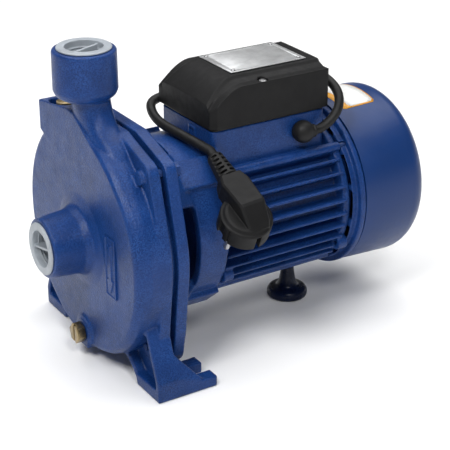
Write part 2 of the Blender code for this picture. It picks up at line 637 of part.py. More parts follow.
def fan_cover():
    start, end = COVER_BARREL_X
    wall = 1.4
    middle = (end - COVER_ROUND, COVER_BARREL_BACK - COVER_ROUND)
    corner = [(x, r) for r, x in arc((middle[1], middle[0]), COVER_ROUND, 0, 90, 3)]
    inner = [(x, r) for r, x in arc((middle[1], middle[0]), COVER_ROUND - wall, 90, 0, 2)]
    profile = [(start, COVER_BARREL_R - wall), (start, COVER_BARREL_R)] + corner + [(end, 0.0),
        (end - wall, 0.0)] + inner
    body = turned("fan_cover", profile, centre=(0.0, COVER_BARREL_Z), segments=32)
    for index in range(12):
        turn = Matrix.Translation((0.0, 0.0, COVER_BARREL_Z)) @ Matrix.Rotation(math.tau * index / 12, 4,
        "X")
        cut(body, box("slot", (end - 4.0, 17.0, -2.2), (end + 4.0, 46.0, 2.2), turn))
    for angle in COVER_SCREW_ANGLES:
        cut(body, radial_rod("hole", angle, COVER_SCREW_X, 60.0, 70.0, 1.5 + GAP))
    return paint(body, *BLUE)


def fan_cover_screw(index, angle):
    screw = radial_rod("fan_cover_screw_%d" % index, angle, COVER_SCREW_X, COVER_BARREL_R + GAP + 0.1,
                       COVER_BARREL_R + 2.1, 2.9)
    add(screw, radial_rod("shank", angle, COVER_SCREW_X, 61.2, COVER_BARREL_R + 1.0, 1.5))
    return paint(screw, *ZINC)


def fan():
    outline = []
    for blade in range(8):
        middle = 45.0 * blade
        for radius, half in ((13.0, -1.1), (50.0, -1.1), (50.0, 1.1), (13.0, 1.1)):
            outline.append(polar(middle + math.degrees(half / radius), radius))
        outline.append(polar(middle + 22.5, 13.0))
    wheel = prism("fan", outline, "x", 203.0, 224.0)
    add(wheel, turned("disc", [(200.6, 0.0), (200.6, 50.0), (203.4, 50.0), (203.4, 0.0)], segments=24))
    cut(wheel, rod("bore", 195.0, 230.0, 6.3, at=(0.0, SHAFT_Z), segments=16))
    return paint(wheel, (0.05, 0.05, 0.055), 0.5)


def shaft():
    steps = [(-9.4, 4.0), (-3.0, 4.0), (-3.0, 5.9), (12.3, 5.9), (12.3, 7.0), (62.0, 7.0), (62.0, 7.5),
             (76.0, 7.5),
             (76.0, 9.0), (182.5, 9.0), (182.5, 7.5), (195.5, 7.5), (195.5, 6.0), (222.0, 6.0)]
    body = turned("shaft", [(steps[0][0], 0.0)] + steps + [(steps[-1][0], 0.0)], segments=16)
    cut(body, box("keyway", (-1.0, -1.6, SHAFT_Z + 4.0), (10.0, 1.6, SHAFT_Z + 8.0)))
    return paint(body, *STEEL)


def bearing(prefix, start):
    """Deep-groove ball bearing 35 x 15 x 11: outer race, inner race, and balls in their cage."""
    middle, centre_r, groove = start + 5.4, 12.5, 2.95
    low, high = start, start + 10.8

    def groove_points(first, last):
        return [(middle + groove * math.cos(math.radians(a)),
                 centre_r + groove * math.sin(math.radians(a)))
                for a in range(first, last + 1, 33)]

    outer = [(high, 14.3), (high, 17.2), (low, 17.2), (low, 14.3)] + groove_points(40, 140)[::-1]
    inner = [(low, 10.7), (low, 7.8), (high, 7.8), (high, 10.7)] + groove_points(220, 320)[::-1]
    ring(prefix + "_bearing_outer", outer, STEEL, 18)
    inner_race = ring(prefix + "_bearing_inner", inner, STEEL, 18)
    cage = ring(prefix + "_ball_set", [(middle - 1.2, 12.0), (middle + 1.2, 12.0), (middle + 1.2, 13.0),
                                       (middle - 1.2, 13.0)],
                STEEL, 14)
    for ball in range(7):
        profile = [(middle - 2.5, 0.0), (middle - 1.3, 2.1), (middle + 1.3, 2.1), (middle + 2.5, 0.0)]
        add(cage, turned("ball", profile, centre=polar(360.0 * ball / 7 + 4.0, centre_r), segments=6))
    return inner_race, paint(cage, *STEEL)


# ---- terminal box ----------------------------------------------------------------------------
def cover_section(x, shrink=0.0):
    """Half-symmetric cross-section of the terminal cover at one station, closed at its foot."""
    start = COVER_X[0]
    share = min(1.0, (x - start) / COVER_NOSE)
    rise = math.sin(share * math.pi / 2)
    low = COVER_LOW - (5.0 if shrink else 0.0)
    half = COVER_HALF - shrink
    chamfer = 3.4 * max(0.0, 1.0 - (x - start) / 4.8)
    top_half = 23.6 + 6.0 * (1.0 - rise)
    ledge = 181.0 + (COVER_LEDGE - 181.0) * rise - shrink
    top = 185.6 + (COVER_TOP - 185.6) * rise - shrink
    knee = ledge + (top - ledge) * 0.28
    side = [(half, low), (half, ledge), (half - 6.5 + shrink, ledge + 0.5 * (1.0 - rise)),
            (top_half + 2.4, knee + 0.6),
            (top_half, top - 0.2), (top_half * 0.5, top + 0.9 * (1.0 - rise))]
    near = [(x, max(-y, chamfer - half) if z < ledge + 0.1 else -y, z) for y, z in reversed(side)]
    return [(x, y, z) for y, z in side] + near


def terminal_cover():
    start, end = COVER_X
    stations = [start, start + 4.8] + [start + COVER_NOSE * s for s in (0.35, 0.55, 0.78, 1.0)] + [end]
    body = loft("terminal_cover", [cover_section(x) for x in stations])
    inside = [start + COVER_WALL] + [start + COVER_WALL + COVER_NOSE * s for s in (0.3, 0.55, 0.8,
        1.05)] + [end - COVER_WALL]
    cut(body, loft("inside", [cover_section(x, COVER_WALL) for x in inside]))
    for side in (-1, 1):
        x, y = COVER_SCREW
        add(body, rod("pillar", COVER_LOW, 194.4, 4.6, "z", (x, side * (y - 1.0))))
        cut(body, rod("recess", 193.6, 210.0, 3.9, "z", (x, side * y), 12))
        cut(body, rod("hole", 160.0, 197.0, 1.9 + GAP, "z", (x, side * y), 8))
    return paint(body, *BLACK_PLASTIC)


def terminal_gasket():
    low, high = BASE_X
    outline = rounded_rectangle((low + 0.4, -BASE_HALF + 0.4), (high - 0.4, BASE_HALF - 0.4), 3.8)
    gasket = prism("terminal_gasket", outline, "z", BASE_TOP + GAP, COVER_LOW - GAP)
    inside = rounded_rectangle((low + 4.2, -BASE_HALF + 3.4), (high - 4.2, BASE_HALF - 3.4), 2.5)
    cut(gasket, prism("inside", inside, "z", 160.0, 175.0))
    x, y = COVER_SCREW
    for side in (-1, 1):
        add(gasket, rod("eye", BASE_TOP + GAP, COVER_LOW - GAP, 4.0, "z", (x, side * (y - 1.0))))
        cut(gasket, rod("hole", 160.0, 175.0, 1.9 + GAP, "z", (x, side * y), 8))
    return paint(gasket, *RUBBER)


def cover_screw(name, side):
    at = (COVER_SCREW[0], side * COVER_SCREW[1])
    screw = turned(name, [(193.6 + GAP, 0.0), (193.6 + GAP, 3.5), (195.6, 3.5), (196.8, 2.2),
                          (196.8, 0.0)], "z", at, 12)
    add(screw, rod("shank", 155.0, 194.6, 1.9, "z", at, 8))
    cut(screw, box("slot", (at[0] - 5.0, at[1] - 0.5, 196.0), (at[0] + 5.0, at[1] + 0.5, 199.0)))
    return paint(screw, *ZINC)


def nameplate():
    low, high = PLATE_X
    plate = box("nameplate", (low, PLATE_Y[0], COVER_TOP + GAP),
                (high, PLATE_Y[1], COVER_TOP + GAP + 0.6))
    for x, y in rivet_spots():
        cut(plate, rod("hole", 190.0, 210.0, 1.0 + GAP, "z", (x, y), 8))
    return paint(plate, (0.62, 0.63, 0.64), 0.35, 1.0)


def rivet_spots():
    return [(x, y) for x in (PLATE_X[0] + 4.0, PLATE_X[1] - 4.0)
            for y in (PLATE_Y[0] + 3.5, PLATE_Y[1] - 3.5)]


def rivet(index, spot):
    top = COVER_TOP + GAP + 0.6
    body = turned("nameplate_rivet_%d" % index, [(top + GAP, 0.0), (top + GAP, 1.7), (top + 0.8, 1.2),
                                                 (top + 1.0, 0.0)], "z", spot, 8)
    add(body, rod("stem", COVER_TOP + GAP, top + 0.5, 1.0, "z", spot, 8))
    return paint(body, *ZINC)


# ---- cord and plug ---------------------------------------------------------------------------
def cable_gland():
    """Round rubber boot on the near side of the terminal box, its mouth towards the fan."""
    x, y, z = GLAND_AT
    ball = [(0.0, 0.0), (0.0, 6.4), (1.6, 7.8), (4.4, 8.3), (7.4, 7.9), (10.2, 6.2), (12.0, 3.4),
            (12.6, 0.0)]
    turn = Matrix.Translation(GLAND_AT) @ Matrix.Rotation(math.radians(90), 4, "X")
    body = turned("cable_gland", ball, "z", (0.0, 0.0), 18, turn)
    add(body, turned("stem", [(-5.0, 0.0), (-5.0, 5.6), (2.0, 5.6), (2.0, 0.0)], "z", (0.0, 0.0), 14,
                     turn))
    add(body, rod("mouth", x + 2.0, x + 8.6, 4.8, at=(y - 6.6, z), segments=14))
    return paint(body, *RUBBER)


# the cord's own route, from the gland's mouth to the plug's strain relief
CORD_ROUTE = [(159.1, -42.5, 154.6), (162.1, -42.5, 154.7), (168.0, -43.6, 157.6), (174.6, -43.8, 162.8),
              (180.0, -41.8, 168.8),
              (184.0, -36.0, 174.6), (186.0, -26.6, 179.2), (186.4, -14.0, 182.0), (186.4, 1.0, 183.0),
              (186.0, 16.0, 182.8),
              (184.2, 30.0, 182.6), (177.6, 40.4, 179.8), (166.0, 44.6, 176.6), (150.0, 45.4, 173.4),
              (132.0, 44.8, 171.2),
              (112.0, 44.6, 170.0), (94.0, 44.8, 169.2), (80.0, 44.6, 168.2), (71.4, 41.2, 167.0),
              (66.6, 33.6, 165.0),
              (63.8, 23.0, 162.8), (63.0, 11.0, 161.4), (63.8, -1.6, 160.8), (65.6, -14.0, 160.0),
              (69.2, -27.4, 157.9)]


def smooth_route(points, spacing):
    """Evenly spaced points along a Catmull-Rom curve through the route's own points."""
    dense = []
    ends = [points[0]] + list(points) + [points[-1]]
    for i in range(1, len(ends) - 2):
        a, b, c, d = (Vector(ends[k]) for k in (i - 1, i, i + 1, i + 2))
        for step in range(12):
            t = step / 12
            dense.append(0.5 * ((2 * b) + (c - a) * t + (2 * a - 5 * b + 4 * c - d) * t * t
                                + (3 * b - a - 3 * c + d) * t ** 3))
    dense.append(Vector(points[-1]))
    length = sum((q - p).length for p, q in zip(dense, dense[1:]))
    count = max(2, round(length / spacing))
    result, walked, target = [dense[0]], 0.0, length / count
    for p, q in zip(dense, dense[1:]):
        step = (q - p).length
        while walked + step >= target * len(result) and len(result) < count:
            result.append(p.lerp(q, (target * len(result) - walked) / step))
        walked += step
    return result + [dense[-1]]


def plug_axes():
    """Unit vectors along the plug's handle, along its pins, and across both."""
    handle = (Vector(HANDLE_AT) - Vector(PLUG_NECK)).normalized()
    pins = Vector(PIN_HINT)
    pins = (pins - handle * pins.dot(handle)).normalized()
    return handle, pins, handle.cross(pins)


def plug_matrix(origin, along, side):
    """Local z runs along the given axis, and local x along side."""
    third = along.cross(side)
    return Matrix(((side.x, third.x, along.x, origin[0]), (side.y, third.y, along.y, origin[1]),
                   (side.z, third.z, along.z, origin[2]), (0.0, 0.0, 0.0, 1.0)))


def power_cord():
    handle, _, _ = plug_axes()
    neck_start = Vector(PLUG_NECK) - handle * GAP
    points = smooth_route(CORD_ROUTE + [tuple(neck_start - handle * 5.0)], 2.2 * CORD_D)
    points.insert(1, Vector(CORD_ROUTE[0]) + Vector((3.0, 0.0, 0.0)))
    points.append(neck_start)
    curve = bpy.data.curves.new("power_cord", "CURVE")
    curve.dimensions = "3D"
    curve.bevel_depth = CORD_D / 2 * MM
    curve.bevel_resolution = 2
    curve.use_fill_caps = True
    line = curve.splines.new("POLY")
    line.points.add(len(points) - 1)
    for spot, point in zip(line.points, points):
        spot.co = (*world(point), 1.0)
    cord = bpy.data.objects.new("power_cord", curve)
    bpy.context.scene.collection.objects.link(cord)
    material = bpy.data.materials.new("power_cord")
    material.use_nodes = True
    shader = material.node_tree.nodes["Principled BSDF"]
    shader.inputs["Base Color"].default_value = (*RUBBER[0], 1.0)
    shader.inputs["Roughness"].default_value = RUBBER[1]
    curve.materials.append(material)
    return cord


def plug_pieces():
    """Angled earthed mains plug: ribbed strain relief, body with its round head, two pins."""
    handle, pins, across = plug_axes()
    along = plug_matrix(PLUG_NECK, handle, across)
    relief = turned("plug_strain_relief", [(0.0, 0.0), (0.0, 5.3), (1.8, 5.9), (20.8, 7.7), (20.8, 0.0)],
                    "z", (0.0, 0.0), 16, along)
    paint(relief, *RUBBER)
    reach = (Vector(HANDLE_AT) - Vector(PLUG_NECK)).length
    head_at = plug_matrix(PLUG_BACK, pins, across)
    head = [(0.0, 0.0), (0.0, 15.8), (2.5, 18.6), (17.0, 18.6), (17.0, 0.0)]
    body = turned("plug_body", head, "z", (0.0, 0.0), 28, head_at)
    # the handle is a tapering block from the strain relief to the far side of the head
    sections = []
    for distance, half, top, foot in ((20.8 + GAP, 8.3, -7.0, 7.2), (28.2, 10.6, -7.5, 7.8),
                                      (reach - 1.9, 9.8, -10.5, 8.0), (reach + 0.4, 9.6, -9.8, 8.0),
                                      (reach + 11.0, 8.8, -2.4, 8.0), (reach + 15.0, 7.4, 0.6, 8.0)):
        outline = [(half, foot), (half, top + 1.4), (half - 1.4, top), (-half + 1.4, top),
                   (-half, top + 1.4), (-half, foot)]
        sections.append([(a, b, distance) for a, b in outline])
    frame_matrix = plug_matrix(PLUG_NECK, handle, across)
    flip = frame_matrix.to_3x3() @ Vector((0.0, 1.0, 0.0))
    toward = 1.0 if flip.dot(pins) > 0 else -1.0
    sections = [[(a, toward * b, w) for a, b, w in section] for section in sections]
    add(body, loft("handle", sections, frame_matrix))
    for side in (-1, 1):
        cut(body, box("groove", (-2.6, side * 16.6 - 1.4, 4.0), (2.6, side * 16.6 + 4.0, 20.0),
                      head_at @ Matrix.Rotation(math.radians(90), 4, "Z")))
    for side in (-1, 1):
        socket = [(12.0, 0.0), (12.0, 2.4 + GAP), (20.0, 2.4 + GAP), (20.0, 0.0)]
        cut(body, turned("socket", socket, "z", (side * 9.5, 0.0), 10, head_at))
    paint(body, *BLACK_PLASTIC)
    for index, side in enumerate((-1, 1), 1):
        pin = turned("plug_pin_%d" % index, [(12.0 + GAP, 0.0), (12.0 + GAP, 2.4), (34.8, 2.4),
                                             (36.0, 1.4), (36.0, 0.0)],
                     "z", (side * 9.5, 0.0), 10, head_at)
        paint(pin, *ZINC)


# ---- support foot ----------------------------------------------------------------------------
def support_foot():
    profile = [(0.0, 0.0), (0.0, 14.4), (1.4, 15.9), (4.6, 15.9), (7.6, 13.6), (8.6, 8.4), (14.0, 6.4),
               (24.0, 5.0), (32.4, 4.8), (32.4, 0.0)]
    body = turned("support_foot", profile, "z", (FOOT_X, 0.0), 16)
    cut(body, rod("hole", -2.0, 40.0, 2.2 + GAP, "z", (FOOT_X, 0.0), 8))
    cut(body, rod("recess", -2.0, 7.0, 5.0, "z", (FOOT_X, 0.0), 12))
    return paint(body, (0.01, 0.025, 0.09), 0.35)


def support_foot_screw():
    at = (FOOT_X, 0.0)
    screw = rod("support_foot_screw", 4.0, 7.0 - GAP, 4.4, "z", at, 12)
    screw = cut(screw, prism("socket", hexagon(at, 4.0), "z", 2.0, 5.2))
    add(screw, rod("shank", 6.0, 40.5, 2.2, "z", at, 8))
    return paint(screw, *ZINC)


def set_origin(items, point):
    """Put a moving piece's origin on its joint's axis without moving its shape."""
    spot = world(point)
    for item in items:
        item.data.transform(Matrix.Translation(-spot))
        item.location = spot


def build():
    clear_scene()
    pump_casing()
    inlet = thread_plug("suction_thread_plug", "x", (0.0, SHAFT_Z), SUCTION_X, 1.0)
    outlet = thread_plug("discharge_thread_plug", "z", (DISCHARGE_X, 0.0), DISCHARGE_TOP, -1.0)
    filler, drain = priming_plug(), drain_plug()
    for index, spot in enumerate(bolt_positions(), 1):
        casing_bolt(index, spot)
    o_ring = [(16.1 + 1.1 * math.cos(math.radians(a)),
               CHAMBER_R - 1.75 + 1.05 * math.sin(math.radians(a)))
              for a in range(45, 405, 90)]
    ring("casing_o_ring", o_ring, RUBBER, 36)
    wheel = impeller()
    cut(wheel, box("keyway", (-4.0, -1.6, SHAFT_Z + 4.0), (14.0, 1.6, SHAFT_Z + 8.4)))
    key = paint(box("impeller_key", (-0.6, -1.3, SHAFT_Z + 4.3), (9.6, 1.3, SHAFT_Z + 8.0)), *STEEL)
    nut = prism("impeller_nut", hexagon((0.0, SHAFT_Z), 13.0), "x", -8.6, -3.0 - GAP)
    paint(cut(nut, rod("bore", -12.0, 0.0, 4.0 + GAP, at=(0.0, SHAFT_Z))), *BRASS)
    ring("seal_seat", [(23.6, 8.2), (23.6, 12.0), (24.2, 15.2), (29.3, 15.2), (29.3, 8.2)],
         ((0.75, 0.74, 0.7), 0.3))
    head = ring("seal_head", [(18.9, 7.3), (18.9, 12.0), (23.3, 12.0), (23.3, 7.3)],
                ((0.03, 0.03, 0.03), 0.3))
    spring = seal_spring()
    lantern_bracket()
    slinger = ring("slinger_ring", [(44.0, 7.3), (44.0, 10.0), (45.0, 15.0), (46.5, 15.0), (48.0, 10.0),
                                    (50.0, 9.5), (50.0, 7.3)], RUBBER, 16)
    motor_frame()
    for index, (angle, radius) in enumerate(TUNNELS, 1):
        tie_bolt(index, polar(angle, radius))
    ring("stator_core", [(101.0, 28.4), (101.0, STATOR_R - GAP), (159.0, STATOR_R - GAP), (159.0, 28.4)],
         ((0.25, 0.25, 0.27), 0.4, 1.0))
    ring("front_winding", [(86.0, 33.0), (88.0, 30.5), (100.7, 30.5), (100.7, 43.0), (88.0, 43.0),
                           (85.5, 39.0)], COPPER)
    ring("rear_winding", [(159.3, 30.5), (172.0, 30.5), (174.5, 33.0), (175.0, 38.0), (172.0, 42.0),
                          (159.3, 43.0)], COPPER)
    rotor = ring("rotor_core", [(99.0, 9.3), (99.0, 26.0), (101.5, 27.8), (158.5, 27.8), (161.0, 26.0),
                                (161.0, 9.3)], ((0.35, 0.35, 0.37), 0.4, 1.0))
    axle = shaft()
    front_race, front_balls = bearing("front", 64.3)
    rear_race, rear_balls = bearing("rear", 183.5)
    ring("wave_washer", [(194.7, 12.0), (195.0, 16.8), (196.0, 16.8), (195.7, 12.0)], STEEL)
    rear_shield()
    blower = fan()
    fan_cover()
    for index, angle in enumerate(COVER_SCREW_ANGLES, 1):
        fan_cover_screw(index, angle)
    terminal_gasket()
    terminal_cover()
    cover_screw("terminal_cover_screw_near", -1)
    cover_screw("terminal_cover_screw_far", 1)
    nameplate()
    for index, spot in enumerate(rivet_spots(), 1):
        rivet(index, spot)
    paint(prism("terminal_block", rounded_rectangle((88.0, -26.0), (128.0, -12.0), 1.0), "z", 172.0,
                186.0), (0.75, 0.75, 0.72), 0.4)
    can = turned("capacitor", [(104.0, 0.0), (104.0, 12.0), (105.5, 13.5), (164.0, 13.5), (164.0, 0.0)],
                 centre=(10.0, 184.0), segments=28)
    paint(can, (0.7, 0.7, 0.68), 0.35)
    cable_gland()
    power_cord()
    plug_pieces()
    support_foot()
    support_foot_screw()
    set_origin([wheel, key, bpy.data.objects["impeller_nut"], head, spring, slinger, rotor, axle,
                front_race, rear_race,
                blower], (106.0, 0.0, SHAFT_Z))
    set_origin([front_balls], (69.7, 0.0, SHAFT_Z))
    set_origin([rear_balls], (188.9, 0.0, SHAFT_Z))
    set_origin([inlet], (SUCTION_X, 0.0, SHAFT_Z))
    set_origin([outlet], (DISCHARGE_X, 0.0, DISCHARGE_TOP))
    set_origin([filler], (*PRIMING_XY, 176.0))
    set_origin([drain], (FACE_X - 3.0, -1.0, DRAIN_Z))


build()
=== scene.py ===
"""Looks of the centrifugal water pump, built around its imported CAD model.

Dimensions are in millimetres and stations along the shaft are measured from the front edge of the
feet, as in the CAD model; MM and CENTRE_X turn both into metres.
"""

import json
import math

import bmesh
import bpy
from mathutils import Matrix, Vector

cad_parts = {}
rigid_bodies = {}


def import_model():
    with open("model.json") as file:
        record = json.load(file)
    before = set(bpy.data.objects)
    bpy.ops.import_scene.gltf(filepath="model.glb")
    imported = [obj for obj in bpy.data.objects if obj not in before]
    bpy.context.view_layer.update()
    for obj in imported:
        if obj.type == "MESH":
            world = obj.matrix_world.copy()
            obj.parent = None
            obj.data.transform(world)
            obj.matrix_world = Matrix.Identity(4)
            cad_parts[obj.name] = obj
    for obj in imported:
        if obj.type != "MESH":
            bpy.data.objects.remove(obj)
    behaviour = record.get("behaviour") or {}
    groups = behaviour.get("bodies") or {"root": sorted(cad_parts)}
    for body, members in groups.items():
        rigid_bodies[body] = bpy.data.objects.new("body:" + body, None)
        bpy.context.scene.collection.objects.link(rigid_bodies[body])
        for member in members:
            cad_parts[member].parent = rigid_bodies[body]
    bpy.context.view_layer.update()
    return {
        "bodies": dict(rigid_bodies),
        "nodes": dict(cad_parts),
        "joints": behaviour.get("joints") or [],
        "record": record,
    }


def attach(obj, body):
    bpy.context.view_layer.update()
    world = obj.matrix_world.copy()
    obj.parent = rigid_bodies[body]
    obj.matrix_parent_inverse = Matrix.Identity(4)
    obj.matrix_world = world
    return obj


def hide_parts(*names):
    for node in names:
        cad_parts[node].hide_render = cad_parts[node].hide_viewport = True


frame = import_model()
SLOT_OF = {entry["node"]: entry["material_slot"] for entry in frame["record"]["subparts"]}
BODY_OF = {node: body for body, nodes in frame["record"]["behaviour"]["bodies"].items() for node in nodes}

MM = 0.001
ROUND = 3  # how much finer the rounds are than the CAD model's
CENTRE_X = 103.6  # half way between the suction plug and the back of the fan cover
GAP = 0.3  # clearance between neighbouring solids
SHAFT_Z = 93.5  # shaft height above the feet
FOOT_SPAN = 177  # over both feet
FOOT_WIDTH = 31.5  # of one foot
FOOT_LENGTH = 47.5
FOOT_THICK = 8
FOOT_SLOT = 11  # width of the open bolt slot
FOOT_SLOT_END = 34  # station of the slot's round end
SUCTION_X = -41  # face of the suction port
FACE_X = -11  # flat front face of the casing
CASING_R = 82  # casing beside the neck; the volute swells from there round to the far side
CHAMBER_R = 74.5
FLANGE_X = (8.5, 17)  # casing flange
FLANGE_R = 82
BACK_FLANGE_X = (22, 31)  # bracket flange, behind the open gap
PORT_R = 15.2  # thread bore of both ports, G1
DISCHARGE_X = -2
DISCHARGE_TOP = 232
DISCHARGE_LOW = 200.6
DISCHARGE_R = 22
CHANNEL_X = 1.8  # discharge channel inside the neck
UPPER_BOLT = (57, 156.5)
LOWER_BOLT = (57, 29)
BOLT_R = 3
PRIMING_XY = (-1, 32.5)
DRAIN_AT = (-1, 20.3)
BELL_END_X = 50  # where the bracket's bell meets its ring
RING_X = 73  # back of the bracket's ring
RING_R = 62
PAD_R = 65.6  # flat pads on the ring
PAD_WIDTH = 22.8
PAD_ANGLES = (50, 130, 230, 310)
FRAME_X = (73.4, 182)  # motor frame
FRAME_WALL_R = 50.5
STATOR_R = 45.5
FIN_R = 60.5
FIN_PITCH = 10
TUNNELS = ((47, 58.6), (133, 58.6), (238, 57), (302, 57))  # angle, radius
TUNNEL_R = 3.6
TIE_R = 2.2  # of the bolts through the tunnels
LUG_ANGLES = (210, 330)
LUG_R = 5.6
LUG_RADIUS = 59  # of the lugs' centres from the shaft
BASE_X = (76.2, 172.4)  # terminal box cast on the frame
BASE_HALF = 35.6
BASE_TOP = 166.6
COVER_X = (74.8, 173.6)
COVER_HALF = 37.1
COVER_LOW = 168.2
COVER_LEDGE = 197.2
COVER_TOP = 201.4
COVER_NOSE = 27  # length of the sloping front end
COVER_WALL = 2.4
COVER_SCREW = (120, 32.2)
SCREW_R = 1.9
SHIELD_X = (182.3, 191.7)
COVER_BARREL_X = (192, 249.8)  # fan cover
COVER_BARREL_R = 65.2  # at its open end
BARREL_FLARE = 1.8  # how much wider it is at the fan
BARREL_STRAIGHT = 43.8  # length of the barrel in front of its rounded edge
COVER_BARREL_BACK = COVER_BARREL_R + BARREL_FLARE
COVER_BARREL_Z = 94.3  # the cover sits a little high on the motor
COVER_ROUND = 14
COVER_SCREW_X = 195.5
COVER_SCREW_ANGLES = (62, -20, -102)
PLATE_X = (101, 164.6)
PLATE_Y = (-20.8, 22.4)
PLATE_TOP = COVER_TOP + GAP + 0.6
GLAND_AT = (150, -35.9, 154.6)
CORD_D = 7
CORD_SPACING = 3
PLUG_NECK = (73, -42.9, 152.8)  # where the cord enters the plug's strain relief
PLUG_BACK = (71.9, -87.8, 127.1)  # centre of the plug head's outer face
HANDLE_AT = (74.3, -87.8, 127.2)  # the handle's axis, beside it
SLEEVE = 20.8  # length of the strain relief
HEAD_R = 18.6  # of the plug's round head
PIN_HINT = (0.10, 0.44, -0.89)  # direction of the plug's pins, near enough
PIN_R = 2.4
PIN_SPREAD = 9.5  # of each pin from the head's axis
FOOT_X = 167  # support foot under the motor

CORD_ROUTE = [
    (159.1, -42.5, 154.6), (162.1, -42.5, 154.7), (168, -43.6, 157.6), (174.6, -43.8, 162.8),
    (180, -41.8, 168.8), (184, -36, 174.6), (186, -26.6, 179.2), (186.4, -14, 182), (186.4, 1, 183),
    (186, 16, 182.8), (184.2, 30, 182.6), (177.6, 40.4, 179.8), (166, 44.6, 176.6), (150, 45.4, 173.4),
    (132, 44.8, 171.2), (112, 44.6, 170), (94, 44.8, 169.2), (80, 44.6, 168.2), (71.4, 41.2, 167),
    (66.6, 33.6, 165), (63.8, 23, 162.8), (63, 11, 161.4), (63.8, -1.6, 160.8), (65.6, -14, 160),
    (69.2, -27.4, 157.9)]


def world(point):
    return Vector(((point[0] - CENTRE_X) * MM, point[1] * MM, point[2] * MM))


def placed(name, data):
    """A new object in the scene around a mesh, curve, camera or lamp."""
    item = bpy.data.objects.new(name, data)
    bpy.context.scene.collection.objects.link(item)
    return item


def turn_at(point, degrees, axis="X"):
    """Turn about an axis through a point."""
    return Matrix.Translation(point) @ Matrix.Rotation(math.radians(degrees), 4, axis)


def axes_at(point, x, y, z):
    """Matrix with the given unit axes through a point."""
    return Matrix.Translation(point) @ Matrix((x, y, z)).transposed().to_4x4()


def make(points, faces, matrix=None):
    """A closed mesh object from points in millimetres."""
    if matrix is not None:
        points = [matrix @ Vector(p) for p in points]
    mesh = bpy.data.meshes.new("piece")
    mesh.from_pydata([world(p) for p in points], [], faces)
    shape = bmesh.new()
    shape.from_mesh(mesh)
    bmesh.ops.recalc_face_normals(shape, faces=shape.faces)
    shape.to_mesh(mesh)
    shape.free()
    return placed("piece", mesh)


def turned(profile, segments=28, axis="x", centre=(0, SHAFT_Z), matrix=None):
    """Turn a closed outline of (station, radius) pairs about an axis."""
    segments = segments * ROUND
    points, rings = [], []
    for station, radius in profile:
        count = segments if radius > 0 else 1
        rings.append(range(len(points), len(points) + count))
        for step in range(count):
            angle = math.tau * step / segments
            u = centre[0] + radius * math.cos(angle)
            v = centre[1] + radius * math.sin(angle)
            points.append((station, u, v) if axis == "x" else (u, v, station))
    faces = []
    for index, ring in enumerate(rings):
        other = rings[(index + 1) % len(rings)]
        if len(ring) == 1 and len(other) == 1:
            continue
        for step in range(segments):
            turn = (step + 1) % segments
            corner = [ring[step % len(ring)], other[step % len(other)],
                      other[turn % len(other)], ring[turn % len(ring)]]
            faces.append(list(dict.fromkeys(corner)))
    return make(points, faces, matrix)


def prism(outline, axis, low, high, matrix=None):
    """Extrude a closed outline along an axis. Outlines are YZ for x and XY for z."""
    count = len(outline)
    points = [(w, a, b) if axis == "x" else (a, b, w) for w in (low, high) for a, b in outline]
    faces = [list(range(count)), list(range(count, 2 * count))]
    faces += [[i, (i + 1) % count, count + (i + 1) % count, count + i] for i in range(count)]
    return make(points, faces, matrix)


def loft(sections, matrix=None):
    """Skin a stack of sections with the same number of points, capped at both ends."""
    count = len(sections[0])
    points = [p for section in sections for p in section]
    faces = [list(range(count)), list(range(len(points) - count, len(points)))]
    for layer in range(len(sections) - 1):
        start = layer * count
        for i in range(count):
            j = (i + 1) % count
            faces.append([start + i, start + j, start + count + j, start + count + i])
    return make(points, faces, matrix)


def box(low, high, matrix=None):
    outline = [(low[0], low[1]), (high[0], low[1]), (high[0], high[1]), (low[0], high[1])]
    return prism(outline, "z", low[2], high[2], matrix)


def apply_modifiers(item):
    graph = bpy.context.evaluated_depsgraph_get()
    result = bpy.data.meshes.new_from_object(item.evaluated_get(graph))
    item.modifiers.clear()
    item.data = result


def combine(target, tools, operation):
    """Boolean the tools into the target, one after another."""
    for tool in tools:
        modifier = target.modifiers.new("shape", "BOOLEAN")
        modifier.operation = operation
        modifier.solver = "MANIFOLD"
        modifier.object = tool
        apply_modifiers(target)
        bpy.data.objects.remove(tool, do_unlink=True)
    return target


def cut(target, *tools):
    return combine(target, tools, "DIFFERENCE")


def add(target, *tools):
    return combine(target, tools, "UNION")


def arc(centre, radius, start, end, steps):
    """Points along an arc, angles in degrees, both ends included."""
    steps = steps * ROUND
    turns = [math.radians(start + (end - start) * i / steps) for i in range(steps + 1)]
    return [(centre[0] + radius * math.cos(t), centre[1] + radius * math.sin(t)) for t in turns]


def polar(angle, radius, centre=(0, SHAFT_Z)):
    turn = math.radians(angle)
    return (centre[0] + radius * math.cos(turn), centre[1] + radius * math.sin(turn))


def hull_of_circles(circles):
    """Convex outline around circles given as (centre, radius)."""
    cloud = sorted({p for c, r in circles for p in arc(c, r, 0, 360, 10 + int(r / 2.4))})

    def half(points):
        chain = []
        for p in points:
            while len(chain) > 1 and turn_of(chain[-2], chain[-1], p) <= 1e-9:
                chain.pop()
            chain.append(p)
        return chain[:-1]

    def turn_of(a, b, p):
        return (b[0] - a[0]) * (p[1] - a[1]) - (b[1] - a[1]) * (p[0] - a[0])

    return half(cloud) + half(cloud[::-1])


def rounded_rectangle(low, high, radius):
    corners = [((high[0] - radius, high[1] - radius), 0), ((low[0] + radius, high[1] - radius), 90),
               ((low[0] + radius, low[1] + radius), 180), ((high[0] - radius, low[1] + radius), 270)]
    return [p for centre, start in corners for p in arc(centre, radius, start, start + 90, 2)]


def rod(start, end, radius, axis="x", at=(0, 0), segments=10, matrix=None):
    profile = [(start, 0), (start, radius), (end, radius), (end, 0)]
    return turned(profile, segments, axis, at, matrix)


def hexagon(centre, across_flats, start=0):
    return [polar(start + 60 * i, across_flats / math.sqrt(3), centre) for i in range(6)]


